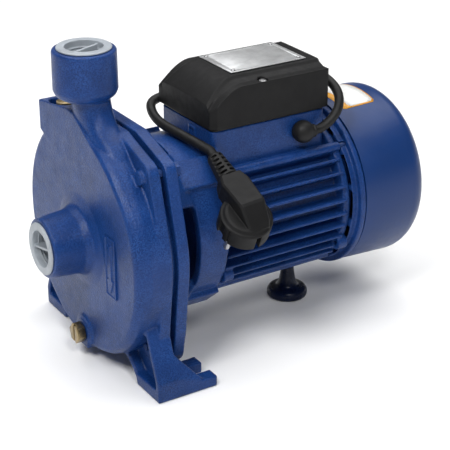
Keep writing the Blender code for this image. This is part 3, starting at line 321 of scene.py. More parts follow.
def flange_outline(shrink=0):
    """Outline shared by the casing flange and the bracket flange, with its four bolt corners."""
    circles = [((0, SHAFT_Z), FLANGE_R - shrink)]
    for y, z, radius in ((*UPPER_BOLT, 10.5), (58.5, 25.8, 14), (60.5, 45, 16), (22, 163, 14.5)):
        circles += [((side * y, z), radius - shrink) for side in (-1, 1)]
    return hull_of_circles(circles)


def bolt_positions():
    return [(side * y, z) for y, z in (UPPER_BOLT, LOWER_BOLT) for side in (-1, 1)]


def eased(rows, steps):
    """Catmull-Rom rows between the given ones, each number on its own smooth curve."""
    ends = [rows[0]] + list(rows) + [rows[-1]]
    result = []
    for a, b, c, d in zip(ends, ends[1:], ends[2:], ends[3:]):
        for i in range(steps):
            t = i / steps
            result.append([0.5 * (2 * q + (r - p) * t + (2 * p - 5 * q + 4 * r - v) * t * t
                                  + (3 * q - p - 3 * r + v) * t ** 3)
                           for p, q, r, v in zip(a, b, c, d)])
    return result + [list(rows[-1])]


def ellipse(centre, half_a, half_b):
    turns = [math.tau * i / 48 for i in range(48)]
    return [(centre[0] + half_a * math.cos(t), centre[1] + half_b * math.sin(t)) for t in turns]


def neck():
    """Discharge neck: round under the port, spreading into the volute below."""
    # height, centre X, centre Y, half length X, half width Y, squareness
    rows = ((206, 0.6, 0, 13.5, 16, 2), (194, 1.6, 0, 13, 15.7, 2),
            (182, 2.4, -2.6, 12.2, 19.4, 2.3), (171, 2.4, -7.4, 12, 29, 2.6),
            (150, 2.4, -8, 11.6, 47, 3.2))
    sections = []
    for z, cx, cy, half_x, half_y, power in eased(rows, 5):
        ring = []
        for step in range(72):
            turn = math.tau * step / 72
            c, s = math.cos(turn), math.sin(turn)
            x = cx + half_x * math.copysign(abs(c) ** (2 / power), c)
            y = cy + half_y * math.copysign(abs(s) ** (2 / power), s)
            ring.append((x, y, z))
        sections.append(ring)
    return loft(sections)


def leg(side):
    """One leg with its foot: front web with a pocket, sole, outer gusset and open bolt slot."""
    outer = FOOT_SPAN / 2
    inner = outer - FOOT_WIDTH

    def sided(outline):
        return [(side * y, z) for y, z in outline]

    front = [(inner, 0), (outer, 0), (outer, 14), (73.5, 50), (66, 66), (30, 62),
             (20, 30), (36, 19), (44, 14.5), (51, 10), (55, 5.4)]
    body = prism(sided(front), "x", 0, FLANGE_X[1])
    pocket = [(57, 8.6), (84.2, 9), (83.5, 14.5), (70.5, 48), (61, 56), (40, 30), (46, 17.5)]
    cut(body, prism(sided(pocket), "x", -5, FLANGE_X[0]))
    sole = box((10, min(side * inner, side * outer), 0),
               (FOOT_LENGTH, max(side * inner, side * outer), FOOT_THICK))
    middle = side * (outer - FOOT_WIDTH / 2)
    slot = [(FOOT_LENGTH + 5, middle - FOOT_SLOT / 2), (FOOT_LENGTH + 5, middle + FOOT_SLOT / 2)]
    slot += arc((FOOT_SLOT_END, middle), FOOT_SLOT / 2, 90, 270, 8)
    cut(sole, prism(slot, "z", -5, FOOT_THICK + 5))
    # the gusset carries the leg's outer slope on, down to the back of the sole
    web = loft([[(x, side * (outer - inset), z) for inset, z in section] for x, section in (
        (12, ((0, 1), (0, 14), (8.75, 35), (13.25, 35), (4.5, 14), (4.5, 1))),
        (FLANGE_X[1], ((0, 1), (0, 14), (6.7, 30), (11.2, 30), (4.5, 14), (4.5, 1))),
        (36, ((0, 1), (0, 7), (0.2, FOOT_THICK), (4.3, FOOT_THICK), (4.5, 7), (4.5, 1))))])
    return add(body, sole, web)


def swell(body):
    """Widen the casing's rim along the volute, least by the neck's near side and most at its far side."""
    for vertex in body.data.vertices:
        y, z = vertex.co.y / MM, vertex.co.z / MM - SHAFT_Z
        radius = math.hypot(y, z)
        turned_by = (math.degrees(math.atan2(z, y)) - 135) % 360
        share = min(1, turned_by / 110, (360 - turned_by) / 45)
        grown = radius + max(0, (radius - 60) / (CASING_R - 60)) * (-1.6 + 5.4 * share)
        scale = grown / radius if radius else 0
        vertex.co.y = y * scale * MM
        vertex.co.z = (z * scale + SHAFT_Z) * MM
    return body


def pump_casing():
    profile = [(SUCTION_X, 0), (SUCTION_X, 20.9), (SUCTION_X + 0.9, 21.7), (-18.5, 23.3), (-13.6, 25.8),
               (FACE_X, 34), (FACE_X, 60), (FACE_X + 0.1, CASING_R - 4.6),
               (FACE_X + 1.3, CASING_R - 2.4), (FACE_X + 5, CASING_R - 0.4),
               (FACE_X + 11, CASING_R + 0.6), (FACE_X + 16, CASING_R + 0.2),
               (FLANGE_X[1] - 1, CASING_R - 0.5), (FLANGE_X[1] - 1, 0)]
    body = swell(turned(profile, 36))
    add(body, prism(flange_outline(), "x", *FLANGE_X))
    add(body, leg(-1), leg(1))
    add(body, neck())
    boss = [(DISCHARGE_TOP, 0), (DISCHARGE_TOP, DISCHARGE_R - 0.9), (DISCHARGE_TOP - 0.9, DISCHARGE_R),
            (DISCHARGE_LOW + 3.4, DISCHARGE_R + 0.3), (DISCHARGE_LOW, DISCHARGE_R - 1.2),
            (DISCHARGE_LOW - 2.4, DISCHARGE_R - 4.5), (DISCHARGE_LOW - 3.2, DISCHARGE_R - 8),
            (DISCHARGE_LOW - 3.2, 0)]
    add(body, turned(boss, 24, "z", (DISCHARGE_X, 0)))
    # flat web between the casing's face and the neck, then the priming lug on the far side
    web = [(59, 157.5), (59, 179.8), (12, 187), (3, 185.6), (-5.9, 180.7), (-22.9, 171),
           (-44, 157.7), (-52, 150.5), (-36, 130), (30, 130), (40, 150)]
    add(body, prism(web, "x", FACE_X, 0))
    lug = [(8, 157.5), (59, 157.5), (59, 179.8), (13, 186.7), (8, 186.7)]
    add(body, prism(lug, "x", FACE_X, FLANGE_X[0] + 1))
    pocket = ellipse((PRIMING_XY[0], 37.5), 8.6, 16.5)
    cut(body, prism(pocket, "z", 173, 200))
    # raised pads: the drain boss with its ridge, and the seats of the two upper bolt ends
    drain_pad = arc(DRAIN_AT, 9.5, -28, 208, 12) + [(-9.4, 9.6), (7.4, 9.6)]
    add(body, prism(drain_pad, "x", FACE_X - 3, FACE_X + 4))
    ridge = arc(DRAIN_AT, 12.4, -40, 220, 12) + arc(DRAIN_AT, 10.4, 220, -40, 12)
    add(body, prism(ridge, "x", FACE_X - 1.9, FACE_X + 2))
    for side in (-1, 1):
        add(body, rod(FLANGE_X[0] - 3.6, FLANGE_X[0] + 2, 5.2, at=(side * UPPER_BOLT[0], UPPER_BOLT[1])))
    # suction port, eye and impeller chamber
    bore = [(SUCTION_X - 5, 0), (SUCTION_X - 5, PORT_R), (-22, PORT_R), (-20, 13.4),
            (-15, 13.4), (-15, 20.6), (FACE_X + 5, 20.6), (FACE_X + 5, CHAMBER_R),
            (FLANGE_X[1] + 5, CHAMBER_R), (FLANGE_X[1] + 5, 0)]
    cut(body, turned(bore, 36))
    # discharge port and channel
    port = [(DISCHARGE_TOP + 5, 0), (DISCHARGE_TOP + 5, PORT_R), (214, PORT_R), (208, 11), (208, 0)]
    cut(body, turned(port, 20, "z", (DISCHARGE_X, 0)))
    channel = ellipse((CHANNEL_X, 0), 8.6, 11)
    cut(body, prism(channel, "z", 150, 212))
    # threads of the priming plug, the drain plug and the casing bolts
    cut(body, rod(140, 180, 6.4, "z", PRIMING_XY, 14))
    cut(body, rod(FACE_X - 8, FACE_X + 8, 4.8, at=DRAIN_AT, segments=14))
    for y, z in bolt_positions():
        depth = 1.9 if z > SHAFT_Z else 8
        cut(body, rod(FLANGE_X[0] - depth, FLANGE_X[1] + 3, BOLT_R + GAP, at=(y, z)))
    return body


def arrow_plate():
    """Raised plate with an arrow on the near side of the casing's face."""
    outline = rounded_rectangle((-53, 67.5), (-38.5, 112.5), 1.5)
    plate = prism(outline, "x", FACE_X - 1.3, FACE_X + 3)
    window = rounded_rectangle((-51.8, 68.7), (-39.7, 111.3), 1)
    cut(plate, prism(window, "x", FACE_X - 2, FACE_X - 0.7))
    pointer = [(-47.8, 107), (-43.8, 107), (-43.8, 81), (-41.2, 81), (-45.8, 70.5), (-50.4, 81),
               (-47.8, 81)]
    return add(plate, prism(pointer, "x", FACE_X - 1.7, FACE_X + 1))


def joined(item, *others):
    """One piece from several meshes that stand in each other."""
    mesh = bmesh.new()
    for part in (item, *others):
        mesh.from_mesh(part.data)
    mesh.to_mesh(item.data)
    mesh.free()
    for part in others:
        bpy.data.objects.remove(part)
    item.data.shade_smooth()
    return item


def thread_plug(axis, centre, face, direction):
    """Plastic transport plug: flange ring, cup and cross web. direction points into the port."""
    profile = [(-1.6, 13.2), (-1.6, 18.4), (-1.2, 18.9), (-GAP, 18.9), (-GAP, PORT_R - GAP),
               (12, PORT_R - GAP - 0.3), (13, 13), (13, 0), (12, 0), (12, 13.2)]
    for depth in (9.6, 7.6, 5.6, 3.6):
        profile += [(depth + 0.7, 13.2), (depth + 0.2, 12.5), (depth - 0.2, 12.5), (depth - 0.7, 13.2)]
    profile = [(face + direction * depth, radius) for depth, radius in profile]
    plug = turned(profile, 20, axis, centre)
    low, high = sorted(face + direction * depth for depth in (0.2, 12.4))
    if axis == "x":
        web = box((low, -13.4, -0.9), (high, 13.4, 0.9), turn_at((0, 0, SHAFT_Z), -13))
    else:
        web = box((-13.4, -0.9, low), (13.4, 0.9, high), turn_at((*centre, 0), 22, "Z"))
    return add(plug, web)


def priming_plug():
    plug = prism(hexagon(PRIMING_XY, 13, 30), "z", 176, 185)
    collar = [(176.5, 0), (176.5, 7.4), (173 + GAP, 7.4), (173 + GAP, 6), (162, 6), (161, 5.2), (161, 0)]
    return add(plug, turned(collar, 14, "z", PRIMING_XY))


def drain_plug():
    pad = FACE_X - 3
    plug = prism(hexagon(DRAIN_AT, 13.4, 10), "x", pad - 6.6, pad - GAP)
    add(plug, rod(pad - 1, FACE_X + 5, 4.5, at=DRAIN_AT, segments=14))
    return cut(plug, box((pad - 9, -1.8, DRAIN_AT[1] - 12), (pad - 5.2, -0.2, DRAIN_AT[1] + 12)))


def casing_bolt(spot):
    """Hexagon bolt from the bracket side, its end just through the casing flange."""
    head = prism(hexagon(spot, 10, 20), "x", BACK_FLANGE_X[1] + GAP, BACK_FLANGE_X[1] + 4.3)
    return add(head, rod(FLANGE_X[0] - 1.6, BACK_FLANGE_X[1] + 1, BOLT_R, at=spot))


def drill_tunnels(body, start, end, radius=TIE_R + GAP):
    for tunnel in TUNNELS:
        cut(body, rod(start, end, radius, at=polar(*tunnel), segments=8))


def wedge(start, end, low, high, inner=34, outer=120):
    """Sector of a ring around the shaft, between two angles and two stations."""
    outline = arc((0, SHAFT_Z), outer, start, end, 2) + arc((0, SHAFT_Z), inner, end, start, 2)
    return prism(outline, "x", low, high)


def lantern_bracket():
    low, high = BACK_FLANGE_X
    outer = [(12.6, 0), (12.6, CHAMBER_R - 0.9), (13.2, CHAMBER_R - GAP), (low + 1, CHAMBER_R - GAP),
             (low + 1, 76), (high, 76), (BELL_END_X, RING_R), (RING_X, RING_R), (RING_X, 49.8),
             (79, 49.8), (79, 0)]
    body = turned(outer, 36)
    add(body, prism(flange_outline(1.6), "x", low, high))
    for angle in PAD_ANGLES:
        add(body, box((BELL_END_X - 5, 50, -PAD_WIDTH / 2), (RING_X - 0.6, PAD_R, PAD_WIDTH / 2),
                      turn_at((0, 0, SHAFT_Z), angle)))
    # lantern hollow between the flange plate and the motor end wall
    hollow = [(high, 22.5), (high, 68), (BELL_END_X, 55), (60, 55), (60, 24), (57, 20.5), (57, 0),
              (38, 0), (38, 20)]
    cut(body, turned(hollow, 24))
    # motor side hollow, bearing seat, shaft hole and seal seat
    rear = [(66, 25), (66, 45), (84, 45), (84, 22.5), (76, 22.5)]
    cut(body, turned(rear, 20))
    shaft_way = [(5, 0), (5, 19), (17, 19), (21, 15.5), (29.6, 15.5), (29.6, 9), (62, 9), (64, 12.5),
                 (64, 17.6), (90, 17.6), (90, 0)]
    cut(body, turned(shaft_way, 20))
    for start, end, front, back in ((150, 210, 0.1, 0.5), (-30, 30, 0.1, 0.5), (70, 110, 4, 0),
                                    (250, 290, 4, 0)):
        cut(body, wedge(start, end, high + front, BELL_END_X + back))
    for y, z in bolt_positions():
        cut(body, rod(low - 3, high + 3, BOLT_R + GAP, at=(y, z)))
    drill_tunnels(body, 62, RING_X + 2)
    # groove that holds the casing's sealing ring
    groove = [(14.6, CHAMBER_R - 3.2), (14.6, CHAMBER_R + 2), (17.6, CHAMBER_R + 2),
              (17.6, CHAMBER_R - 3.2)]
    cut(body, turned(groove, 36))
    return body


def finned_outline():
    """Cross-section of the frame: round wall with radial fins, thick ribs over the bolt tunnels."""
    outline = []

    def fin(angle, half_root, half_tip, tip):
        for radius, half in ((FRAME_WALL_R, -half_root), (tip - 0.9, -half_tip),
                             (tip - 0.25, -half_tip * 0.72), (tip, 0), (tip - 0.25, half_tip * 0.72),
                             (tip - 0.9, half_tip), (FRAME_WALL_R, half_root)):
            outline.append(polar(angle + math.degrees(half / radius), radius))

    ribs = {round(angle) for angle, _ in TUNNELS}
    angles = [47 - FIN_PITCH * k for k in range(10)]
    left = sorted((180 - a) % 360 for a in angles)
    right = sorted(a % 360 for a in angles)
    places = left + [256, 270, 284] + [a for a in right if a > 180] + [a for a in right if a < 180]
    for angle in places:
        near_rib = [a for a in ribs if abs(a - angle) < 3]
        if near_rib:
            fin(near_rib[0], 3.9, 3.4, 61.6)
        else:
            fin(angle, 1.7, 1.1, FIN_R)
    # bare wall under the terminal box
    return outline + arc((0, SHAFT_Z), FRAME_WALL_R, 47 + 8, 133 - 8, 8)


def motor_frame():
    start, end = FRAME_X
    frame = prism(finned_outline(), "x", start + 1.5, end - 4)
    rim = [(start, 0), (start, 56), (start + 4.5, 56), (start + 6, FRAME_WALL_R - 1),
           (end - 8, FRAME_WALL_R - 1), (end - 5, 57.5), (end, 57.5), (end, 0)]
    add(frame, turned(rim, 28))
    for angle, radius in TUNNELS:
        add(frame, rod(start, end, TUNNEL_R, at=polar(angle, radius)))
    for angle in LUG_ANGLES:
        spot = polar(angle, LUG_RADIUS)
        for low, high in ((start, start + 8), (end - 8, end)):
            add(frame, rod(low, high, LUG_R, at=spot))
            cut(frame, rod(low - 2, low + 5, 1.9, at=spot, segments=8))
    # terminal box
    low, high = BASE_X
    shell = rounded_rectangle((low, -BASE_HALF), (high, BASE_HALF), 4)
    add(frame, prism(shell, "z", 131, BASE_TOP))
    inside = rounded_rectangle((low + 4, -BASE_HALF + 4), (high - 4, BASE_HALF - 4), 2.5)
    cut(frame, prism(inside, "z", 149, BASE_TOP + 5))
    clip = [(-13, 157), (-13, 163.5), (-4, 163.5), (-4, 157), (-5.4, 157), (-5.4, 162.1),
            (-11.6, 162.1), (-11.6, 157)]
    add(frame, prism(clip, "x", low - 0.8, low + 1))
    # the stator's bore and the opening for its wires
    cut(frame, turned([(start - 2, 0), (start - 2, 50.1), (79.4, 50.1), (79.4, STATOR_R),
                       (end + 2, STATOR_R), (end + 2, 0)], 36))
    cut(frame, rod(120, 155, 8, "z", (90, 0)))
    # posts for the cover's screws, and the gland's hole
    for side in (-1, 1):
        x, y = COVER_SCREW
        add(frame, rod(147, BASE_TOP, 4.4, "z", (x, side * (y - 1.2))))
        cut(frame, rod(152, BASE_TOP + 3, SCREW_R + GAP, "z", (x, side * y), 8))
    cut(frame, rod(-40, -25, 6, "z", segments=14, matrix=turn_at((GLAND_AT[0], 0, GLAND_AT[2]), -90)))
    # boss for the support foot
    add(frame, rod(32.7, 44.5, 7.2, "z", (FOOT_X, 0), 14))
    cut(frame, rod(30, 42, 2.2 + GAP, "z", (FOOT_X, 0), 8))
    drill_tunnels(frame, start - 2, end + 2)
    return frame


def tie_bolt(spot):
    bolt = prism(hexagon(spot, 8), "x", SHIELD_X[1] - 3.7 + GAP, SHIELD_X[1])
    return add(bolt, rod(63, SHIELD_X[1] - 3, TIE_R, at=spot, segments=8))


def rear_shield():
    """End shield: bearing hub, web with vents and the outer ring that carries the fan cover."""
    start, end = SHIELD_X
    profile = [(178, 40.5), (178, STATOR_R - GAP), (start, STATOR_R - GAP), (start, 60.6),
               (end - 3.7, 60.6), (end - 3.7, 26), (198, 22), (198, 9), (196.4, 9), (196.4, 17.5),
               (182.4, 17.5), (182.4, 24), (184.5, 40.5)]
    body = turned(profile, 24)
    for first, last in ((56, 84), (96, 124), (140, 163), (167, 190), (196, 230), (246, 264),
                        (276, 294), (310, 344), (350, 373), (377, 400)):
        cut(body, wedge(first, last, start - 2, end + 2, 52, 60))
    rim = [(start + 4.8, 60.4), (start + 4.8, 64.2), (start + 5.6, 65), (end, 65), (end, 62.5),
           (end + 7, 62.5), (end + 7, 60.4)]
    add(body, turned(rim, 24))
    drill_tunnels(body, start - 3, end + 3)
    drill_tunnels(body, end - 3.7, end + 6, 5.4)
    for angle in COVER_SCREW_ANGLES:
        cut(body, radial_rod(angle, 60, 70, 1.5 + GAP))
    return body


def radial_rod(angle, inner, outer, radius):
    """Rod that points away from the shaft, at the station of the fan cover's screws."""
    turn = turn_at((COVER_SCREW_X, 0, COVER_BARREL_Z), angle) @ turn_at((0, 0, 0), -90)
    return rod(inner, outer, radius, "z", segments=8, matrix=turn)


def fan_cover():
    start, end = COVER_BARREL_X
    wall = 1.4
    middle = (COVER_BARREL_BACK - COVER_ROUND, end - COVER_ROUND)
    corner = [(x, r) for r, x in arc(middle, COVER_ROUND, 0, 90, 3)]
    inner = [(x, r) for r, x in arc(middle, COVER_ROUND - wall, 90, 0, 2)]
    profile = [(start, COVER_BARREL_R - wall), (start, COVER_BARREL_R), *corner, (end, 0),
               (end - wall, 0), *inner]
    body = turned(profile, 32, centre=(0, COVER_BARREL_Z))
    for index in range(12):
        cut(body, box((end - 4, 17, -2.2), (end + 4, 46, 2.2),
                      turn_at((0, 0, COVER_BARREL_Z), 30 * index)))
    for angle in COVER_SCREW_ANGLES:
        cut(body, radial_rod(angle, 60, 70, 1.5 + GAP))
    return body


def label_patch(low, high, first, last, lift):
    """Thin curved sheet lying on the fan cover's barrel, with rounded corners."""
    corner, rows, thick = 2, 28, 0.1
    mean_radius = 66
    sections = []
    for row in range(rows + 1):
        angle = first + (last - first) * row / rows
        edge = min(math.radians(abs(angle - first)), math.radians(abs(last - angle))) * mean_radius
        inset = corner - math.sqrt(max(0, corner ** 2 - max(0, corner - edge) ** 2))
        under = []
        for step in range(5):
            x = low + inset + (high - low - 2 * inset) * step / 4
            flare = (x - COVER_BARREL_X[0]) / BARREL_STRAIGHT * BARREL_FLARE
            under.append((x, COVER_BARREL_R + flare + lift))
        outline = under + [(x, radius + thick) for x, radius in reversed(under)]
        sections.append([(x, *polar(angle, radius, (0, COVER_BARREL_Z))) for x, radius in outline])
    return loft(sections)


def fan_cover_screw(angle):
    screw = radial_rod(angle, COVER_BARREL_R + GAP + 0.1, COVER_BARREL_R + 2.1, 2.9)
    return add(screw, radial_rod(angle, 61.2, COVER_BARREL_R + 1, 1.5))


def cover_section(x, shrink=0):
    """Half-symmetric cross-section of the terminal cover at one station, closed at its foot."""
    start = COVER_X[0]
    share = min(1, (x - start) / COVER_NOSE)
    rise = math.sin(share * math.pi / 2)
    low = COVER_LOW - (5 if shrink else 0)
    half = COVER_HALF - shrink
    chamfer = 3.4 * max(0, 1 - (x - start) / 4.8)
    top_half = 23.6 + 6 * (1 - rise)
    ledge = 181 + (COVER_LEDGE - 181) * rise - shrink
    top = 185.6 + (COVER_TOP - 185.6) * rise - shrink
    knee = ledge + (top - ledge) * 0.28
    side = [(half, low), (half, ledge), (half - 6.5 + shrink, ledge + 0.5 * (1 - rise)),
            (top_half + 2.4, knee + 0.6), (top_half, top - 0.2), (top_half * 0.5, top + 0.9 * (1 - rise))]
    near = [(x, max(-y, chamfer - half) if z < ledge + 0.1 else -y, z) for y, z in reversed(side)]
    return [(x, y, z) for y, z in side] + near


def terminal_cover():
    start, end = COVER_X
    stations = [start, start + 4.8] + [start + COVER_NOSE * s / 14 for s in range(4, 15)]
    stations += [end]
    body = loft([cover_section(x) for x in stations])
    inside = [start + COVER_WALL + COVER_NOSE * s / 10 for s in range(11)] + [end - COVER_WALL]
    cut(body, loft([cover_section(x, COVER_WALL) for x in inside]))
    for side in (-1, 1):
        x, y = COVER_SCREW
        add(body, rod(COVER_LOW, 194.4, 4.6, "z", (x, side * (y - 1))))
        cut(body, rod(193.6, 210, 3.9, "z", (x, side * y), 12))
        cut(body, rod(160, 197, SCREW_R + GAP, "z", (x, side * y), 8))
    return body


def terminal_gasket():
    low, high = BASE_X
    outline = rounded_rectangle((low + 0.4, -BASE_HALF + 0.4), (high - 0.4, BASE_HALF - 0.4), 3.8)
    gasket = prism(outline, "z", BASE_TOP + GAP, COVER_LOW - GAP)
    inside = rounded_rectangle((low + 4.2, -BASE_HALF + 3.4), (high - 4.2, BASE_HALF - 3.4), 2.5)
    cut(gasket, prism(inside, "z", 160, 175))
    x, y = COVER_SCREW
    for side in (-1, 1):
        add(gasket, rod(BASE_TOP + GAP, COVER_LOW - GAP, 4, "z", (x, side * (y - 1))))
        cut(gasket, rod(160, 175, SCREW_R + GAP, "z", (x, side * y), 8))
    return gasket


def cover_screw(side):
    x, y = COVER_SCREW[0], side * COVER_SCREW[1]
    head = [(193.6 + GAP, 0), (193.6 + GAP, 3.5), (195.6, 3.5), (196.8, 2.2), (196.8, 0)]
    screw = turned(head, 12, "z", (x, y))
    add(screw, rod(155, 194.6, SCREW_R, "z", (x, y), 8))
    return cut(screw, box((x - 5, y - 0.5, 196), (x + 5, y + 0.5, 199)))


def nameplate():
    low, high = PLATE_X
    plate = box((low, PLATE_Y[0], COVER_TOP + GAP), (high, PLATE_Y[1], PLATE_TOP))
    for x, y in rivet_spots():
        cut(plate, rod(190, 210, 1 + GAP, "z", (x, y), 8))
    return plate


def rivet_spots():
    return [(x, y) for x in (PLATE_X[0] + 4, PLATE_X[1] - 4)
            for y in (PLATE_Y[0] + 3.5, PLATE_Y[1] - 3.5)]


def rivet(spot):
    head = [(PLATE_TOP + GAP, 0), (PLATE_TOP + GAP, 1.7), (PLATE_TOP + 0.8, 1.2), (PLATE_TOP + 1, 0)]
    return add(turned(head, 8, "z", spot), rod(COVER_TOP + GAP, PLATE_TOP + 0.5, 1, "z", spot, 8))


def cable_gland():
    """Round rubber boot on the near side of the terminal box, its mouth towards the fan."""
    x, y, z = GLAND_AT
    ball = [(0, 0), (0, 6.4), (0.7, 7.2), (1.6, 7.8), (3, 8.2), (4.4, 8.3), (6, 8.2),
            (7.4, 7.9), (9, 7.2), (10.2, 6.2), (11.2, 4.9), (12, 3.4), (12.4, 1.8), (12.6, 0)]
    turn = turn_at(GLAND_AT, 90)
    body = turned(ball, 18, "z", (0, 0), turn)
    add(body, rod(-5, 2, 5.6, "z", segments=14, matrix=turn))
    mouth = [(x + 2, 0), (x + 2, 5.2), (x + 5.4, 5.2), (x + 5.9, 4.4), (x + 6.5, 4.4),
             (x + 6.9, 5), (x + 8, 4.8), (x + 8.6, 4.2), (x + 8.6, 0)]
    return add(body, turned(mouth, 14, "x", (y - 6.6, z)))


def plug_axes():
    """Unit vectors along the plug's handle, along its pins, and across both."""
    handle = (Vector(HANDLE_AT) - Vector(PLUG_NECK)).normalized()
    pins = Vector(PIN_HINT)
    pins = (pins - handle * pins.dot(handle)).normalized()
    return handle, pins, handle.cross(pins)


def plug_matrix(origin, along, side):
    """Local z runs along the given axis, and local x along side."""
    return axes_at(origin, side, along.cross(side), along)


def cord_points():
    """Evenly spaced points in metres along the cord, from the gland's mouth to the strain relief."""
    handle, _, _ = plug_axes()
    end = Vector(PLUG_NECK) - handle * GAP
    dense = [Vector(point) for point in eased(CORD_ROUTE + [tuple(end - handle * 5)], 12)]
    length = sum((q - p).length for p, q in zip(dense, dense[1:]))
    count = round(length / CORD_SPACING)
    points, walked, target = [dense[0]], 0, length / count
    for p, q in zip(dense, dense[1:]):
        step = (q - p).length
        while walked + step >= target * len(points) and len(points) < count:
            points.append(p.lerp(q, (target * len(points) - walked) / step))
        walked += step
    return [world(point) for point in (*points, dense[-1], end)]


def power_cord():
    points = cord_points()
    curve = bpy.data.curves.new("power_cord.look", "CURVE")
    curve.dimensions = "3D"
    curve.bevel_depth = 1  # times each point's radius
    curve.bevel_resolution = 6
    curve.use_fill_caps = True
    line = curve.splines.new("POLY")
    line.points.add(len(points) - 1)
    for spot, point in zip(line.points, points):
        spot.co = (*point, 1)
        spot.radius = CORD_D / 2 * MM
    line.use_smooth = True
    return placed("power_cord.look", curve)


def strain_relief():
    """Tapered sleeve with two columns of slots on its upper side and two below."""
    handle, _, across = plug_axes()
    along = plug_matrix(PLUG_NECK, handle, across)
    outline = [(0, 0), (0, 4.6), (0.5, 5.3), (1.8, 5.9), (SLEEVE - 0.5, 7.7), (SLEEVE, 7.4), (SLEEVE, 0)]
    sleeve = turned(outline, 16, "z", (0, 0), along)
    for row in range(5):
        low = 2.4 + 3.7 * row
        for left, right in ((-9, -1.1), (1.1, 9)):
            for bottom, top in ((-9, -3.4), (3.4, 9)):
                cut(sleeve, box((left, bottom, low), (right, top, low + 1.8), along))
    return sleeve


def plug_body():
    """Angled earthed mains plug: faceted handle over a round head with grip flats and earth clips."""
    handle, pins, across = plug_axes()
    reach = (Vector(HANDLE_AT) - Vector(PLUG_NECK)).length
    head_at = plug_matrix(PLUG_BACK, pins, across)
    head = [(0, 0), (0, 13.6), (0.7, 15.2), (2.3, 16.7), (2.9, 18), (4, HEAD_R), (16.4, HEAD_R),
            (17, HEAD_R - 0.5), (17, 0)]
    body = turned(head, 28, "z", (0, 0), head_at)
    sections = []
    for distance, half, top, foot in ((SLEEVE + GAP, 8.3, -7, 7.2), (28.2, 10.6, -7.5, 7.8),
                                      (reach - 1.9, 9.8, -10.5, 8), (reach + 0.4, 9.6, -9.8, 8),
                                      (reach + 11, 8.8, -2.4, 8), (reach + 15, 7.4, 0.6, 8)):
        outline = [(half, foot), (half, top + 1.4), (half - 1.4, top), (-half + 1.4, top),
                   (-half, top + 1.4), (-half, foot)]
        sections.append([(a, b, distance) for a, b in outline])
    along = plug_matrix(PLUG_NECK, handle, across)
    toward = 1 if (along.to_3x3() @ Vector((0, 1, 0))).dot(pins) > 0 else -1
    add(body, loft([[(a, toward * b, w) for a, b, w in section] for section in sections], along))
    # slots of the earth clips, the guide grooves beside the pins and their thin seams
    for angle, half, depth, low in ((90, 1.8, 4.4, 4.4), (270, 1.8, 4.4, 4.4), (183, 3.4, 2.4, 3.6),
                                    (3, 3.4, 2.4, 3.6), (159, 0.8, 1.5, 3.6), (21, 0.8, 1.5, 3.6)):
        turn = Matrix.Rotation(math.radians(angle - 90), 4, "Z")
        cut(body, box((-half, HEAD_R - depth, low), (half, 24, 20), head_at @ turn))
    for side in (-1, 1):
        cut(body, rod(12, 20, PIN_R + GAP, "z", (side * PIN_SPREAD, 0), 10, head_at))
    return body


def plug_pin(side):
    _, pins, across = plug_axes()
    outline = [(12 + GAP, 0), (12 + GAP, PIN_R), (34.2, PIN_R), (35.2, 2), (35.8, 1.2), (36, 0)]
    return turned(outline, 12, "z", (side * PIN_SPREAD, 0), plug_matrix(PLUG_BACK, pins, across))


def support_foot():
    profile = [(0, 0), (0, 14.4), (0.5, 15.3), (1.4, 15.9), (3.2, 16), (4.8, 15.8), (6.4, 15),
               (7.6, 13.4), (8, 11.4), (8.4, 9.2), (9.4, 8.2), (11.4, 7.2), (14, 6.4), (18, 5.7),
               (24, 5), (32.4, 4.8), (32.4, 0)]
    body = turned(profile, 16, "z", (FOOT_X, 0))
    cut(body, rod(-2, 40, 2.2 + GAP, "z", (FOOT_X, 0), 8))
    cut(body, rod(-2, 7, 5, "z", (FOOT_X, 0), 12))
    return body


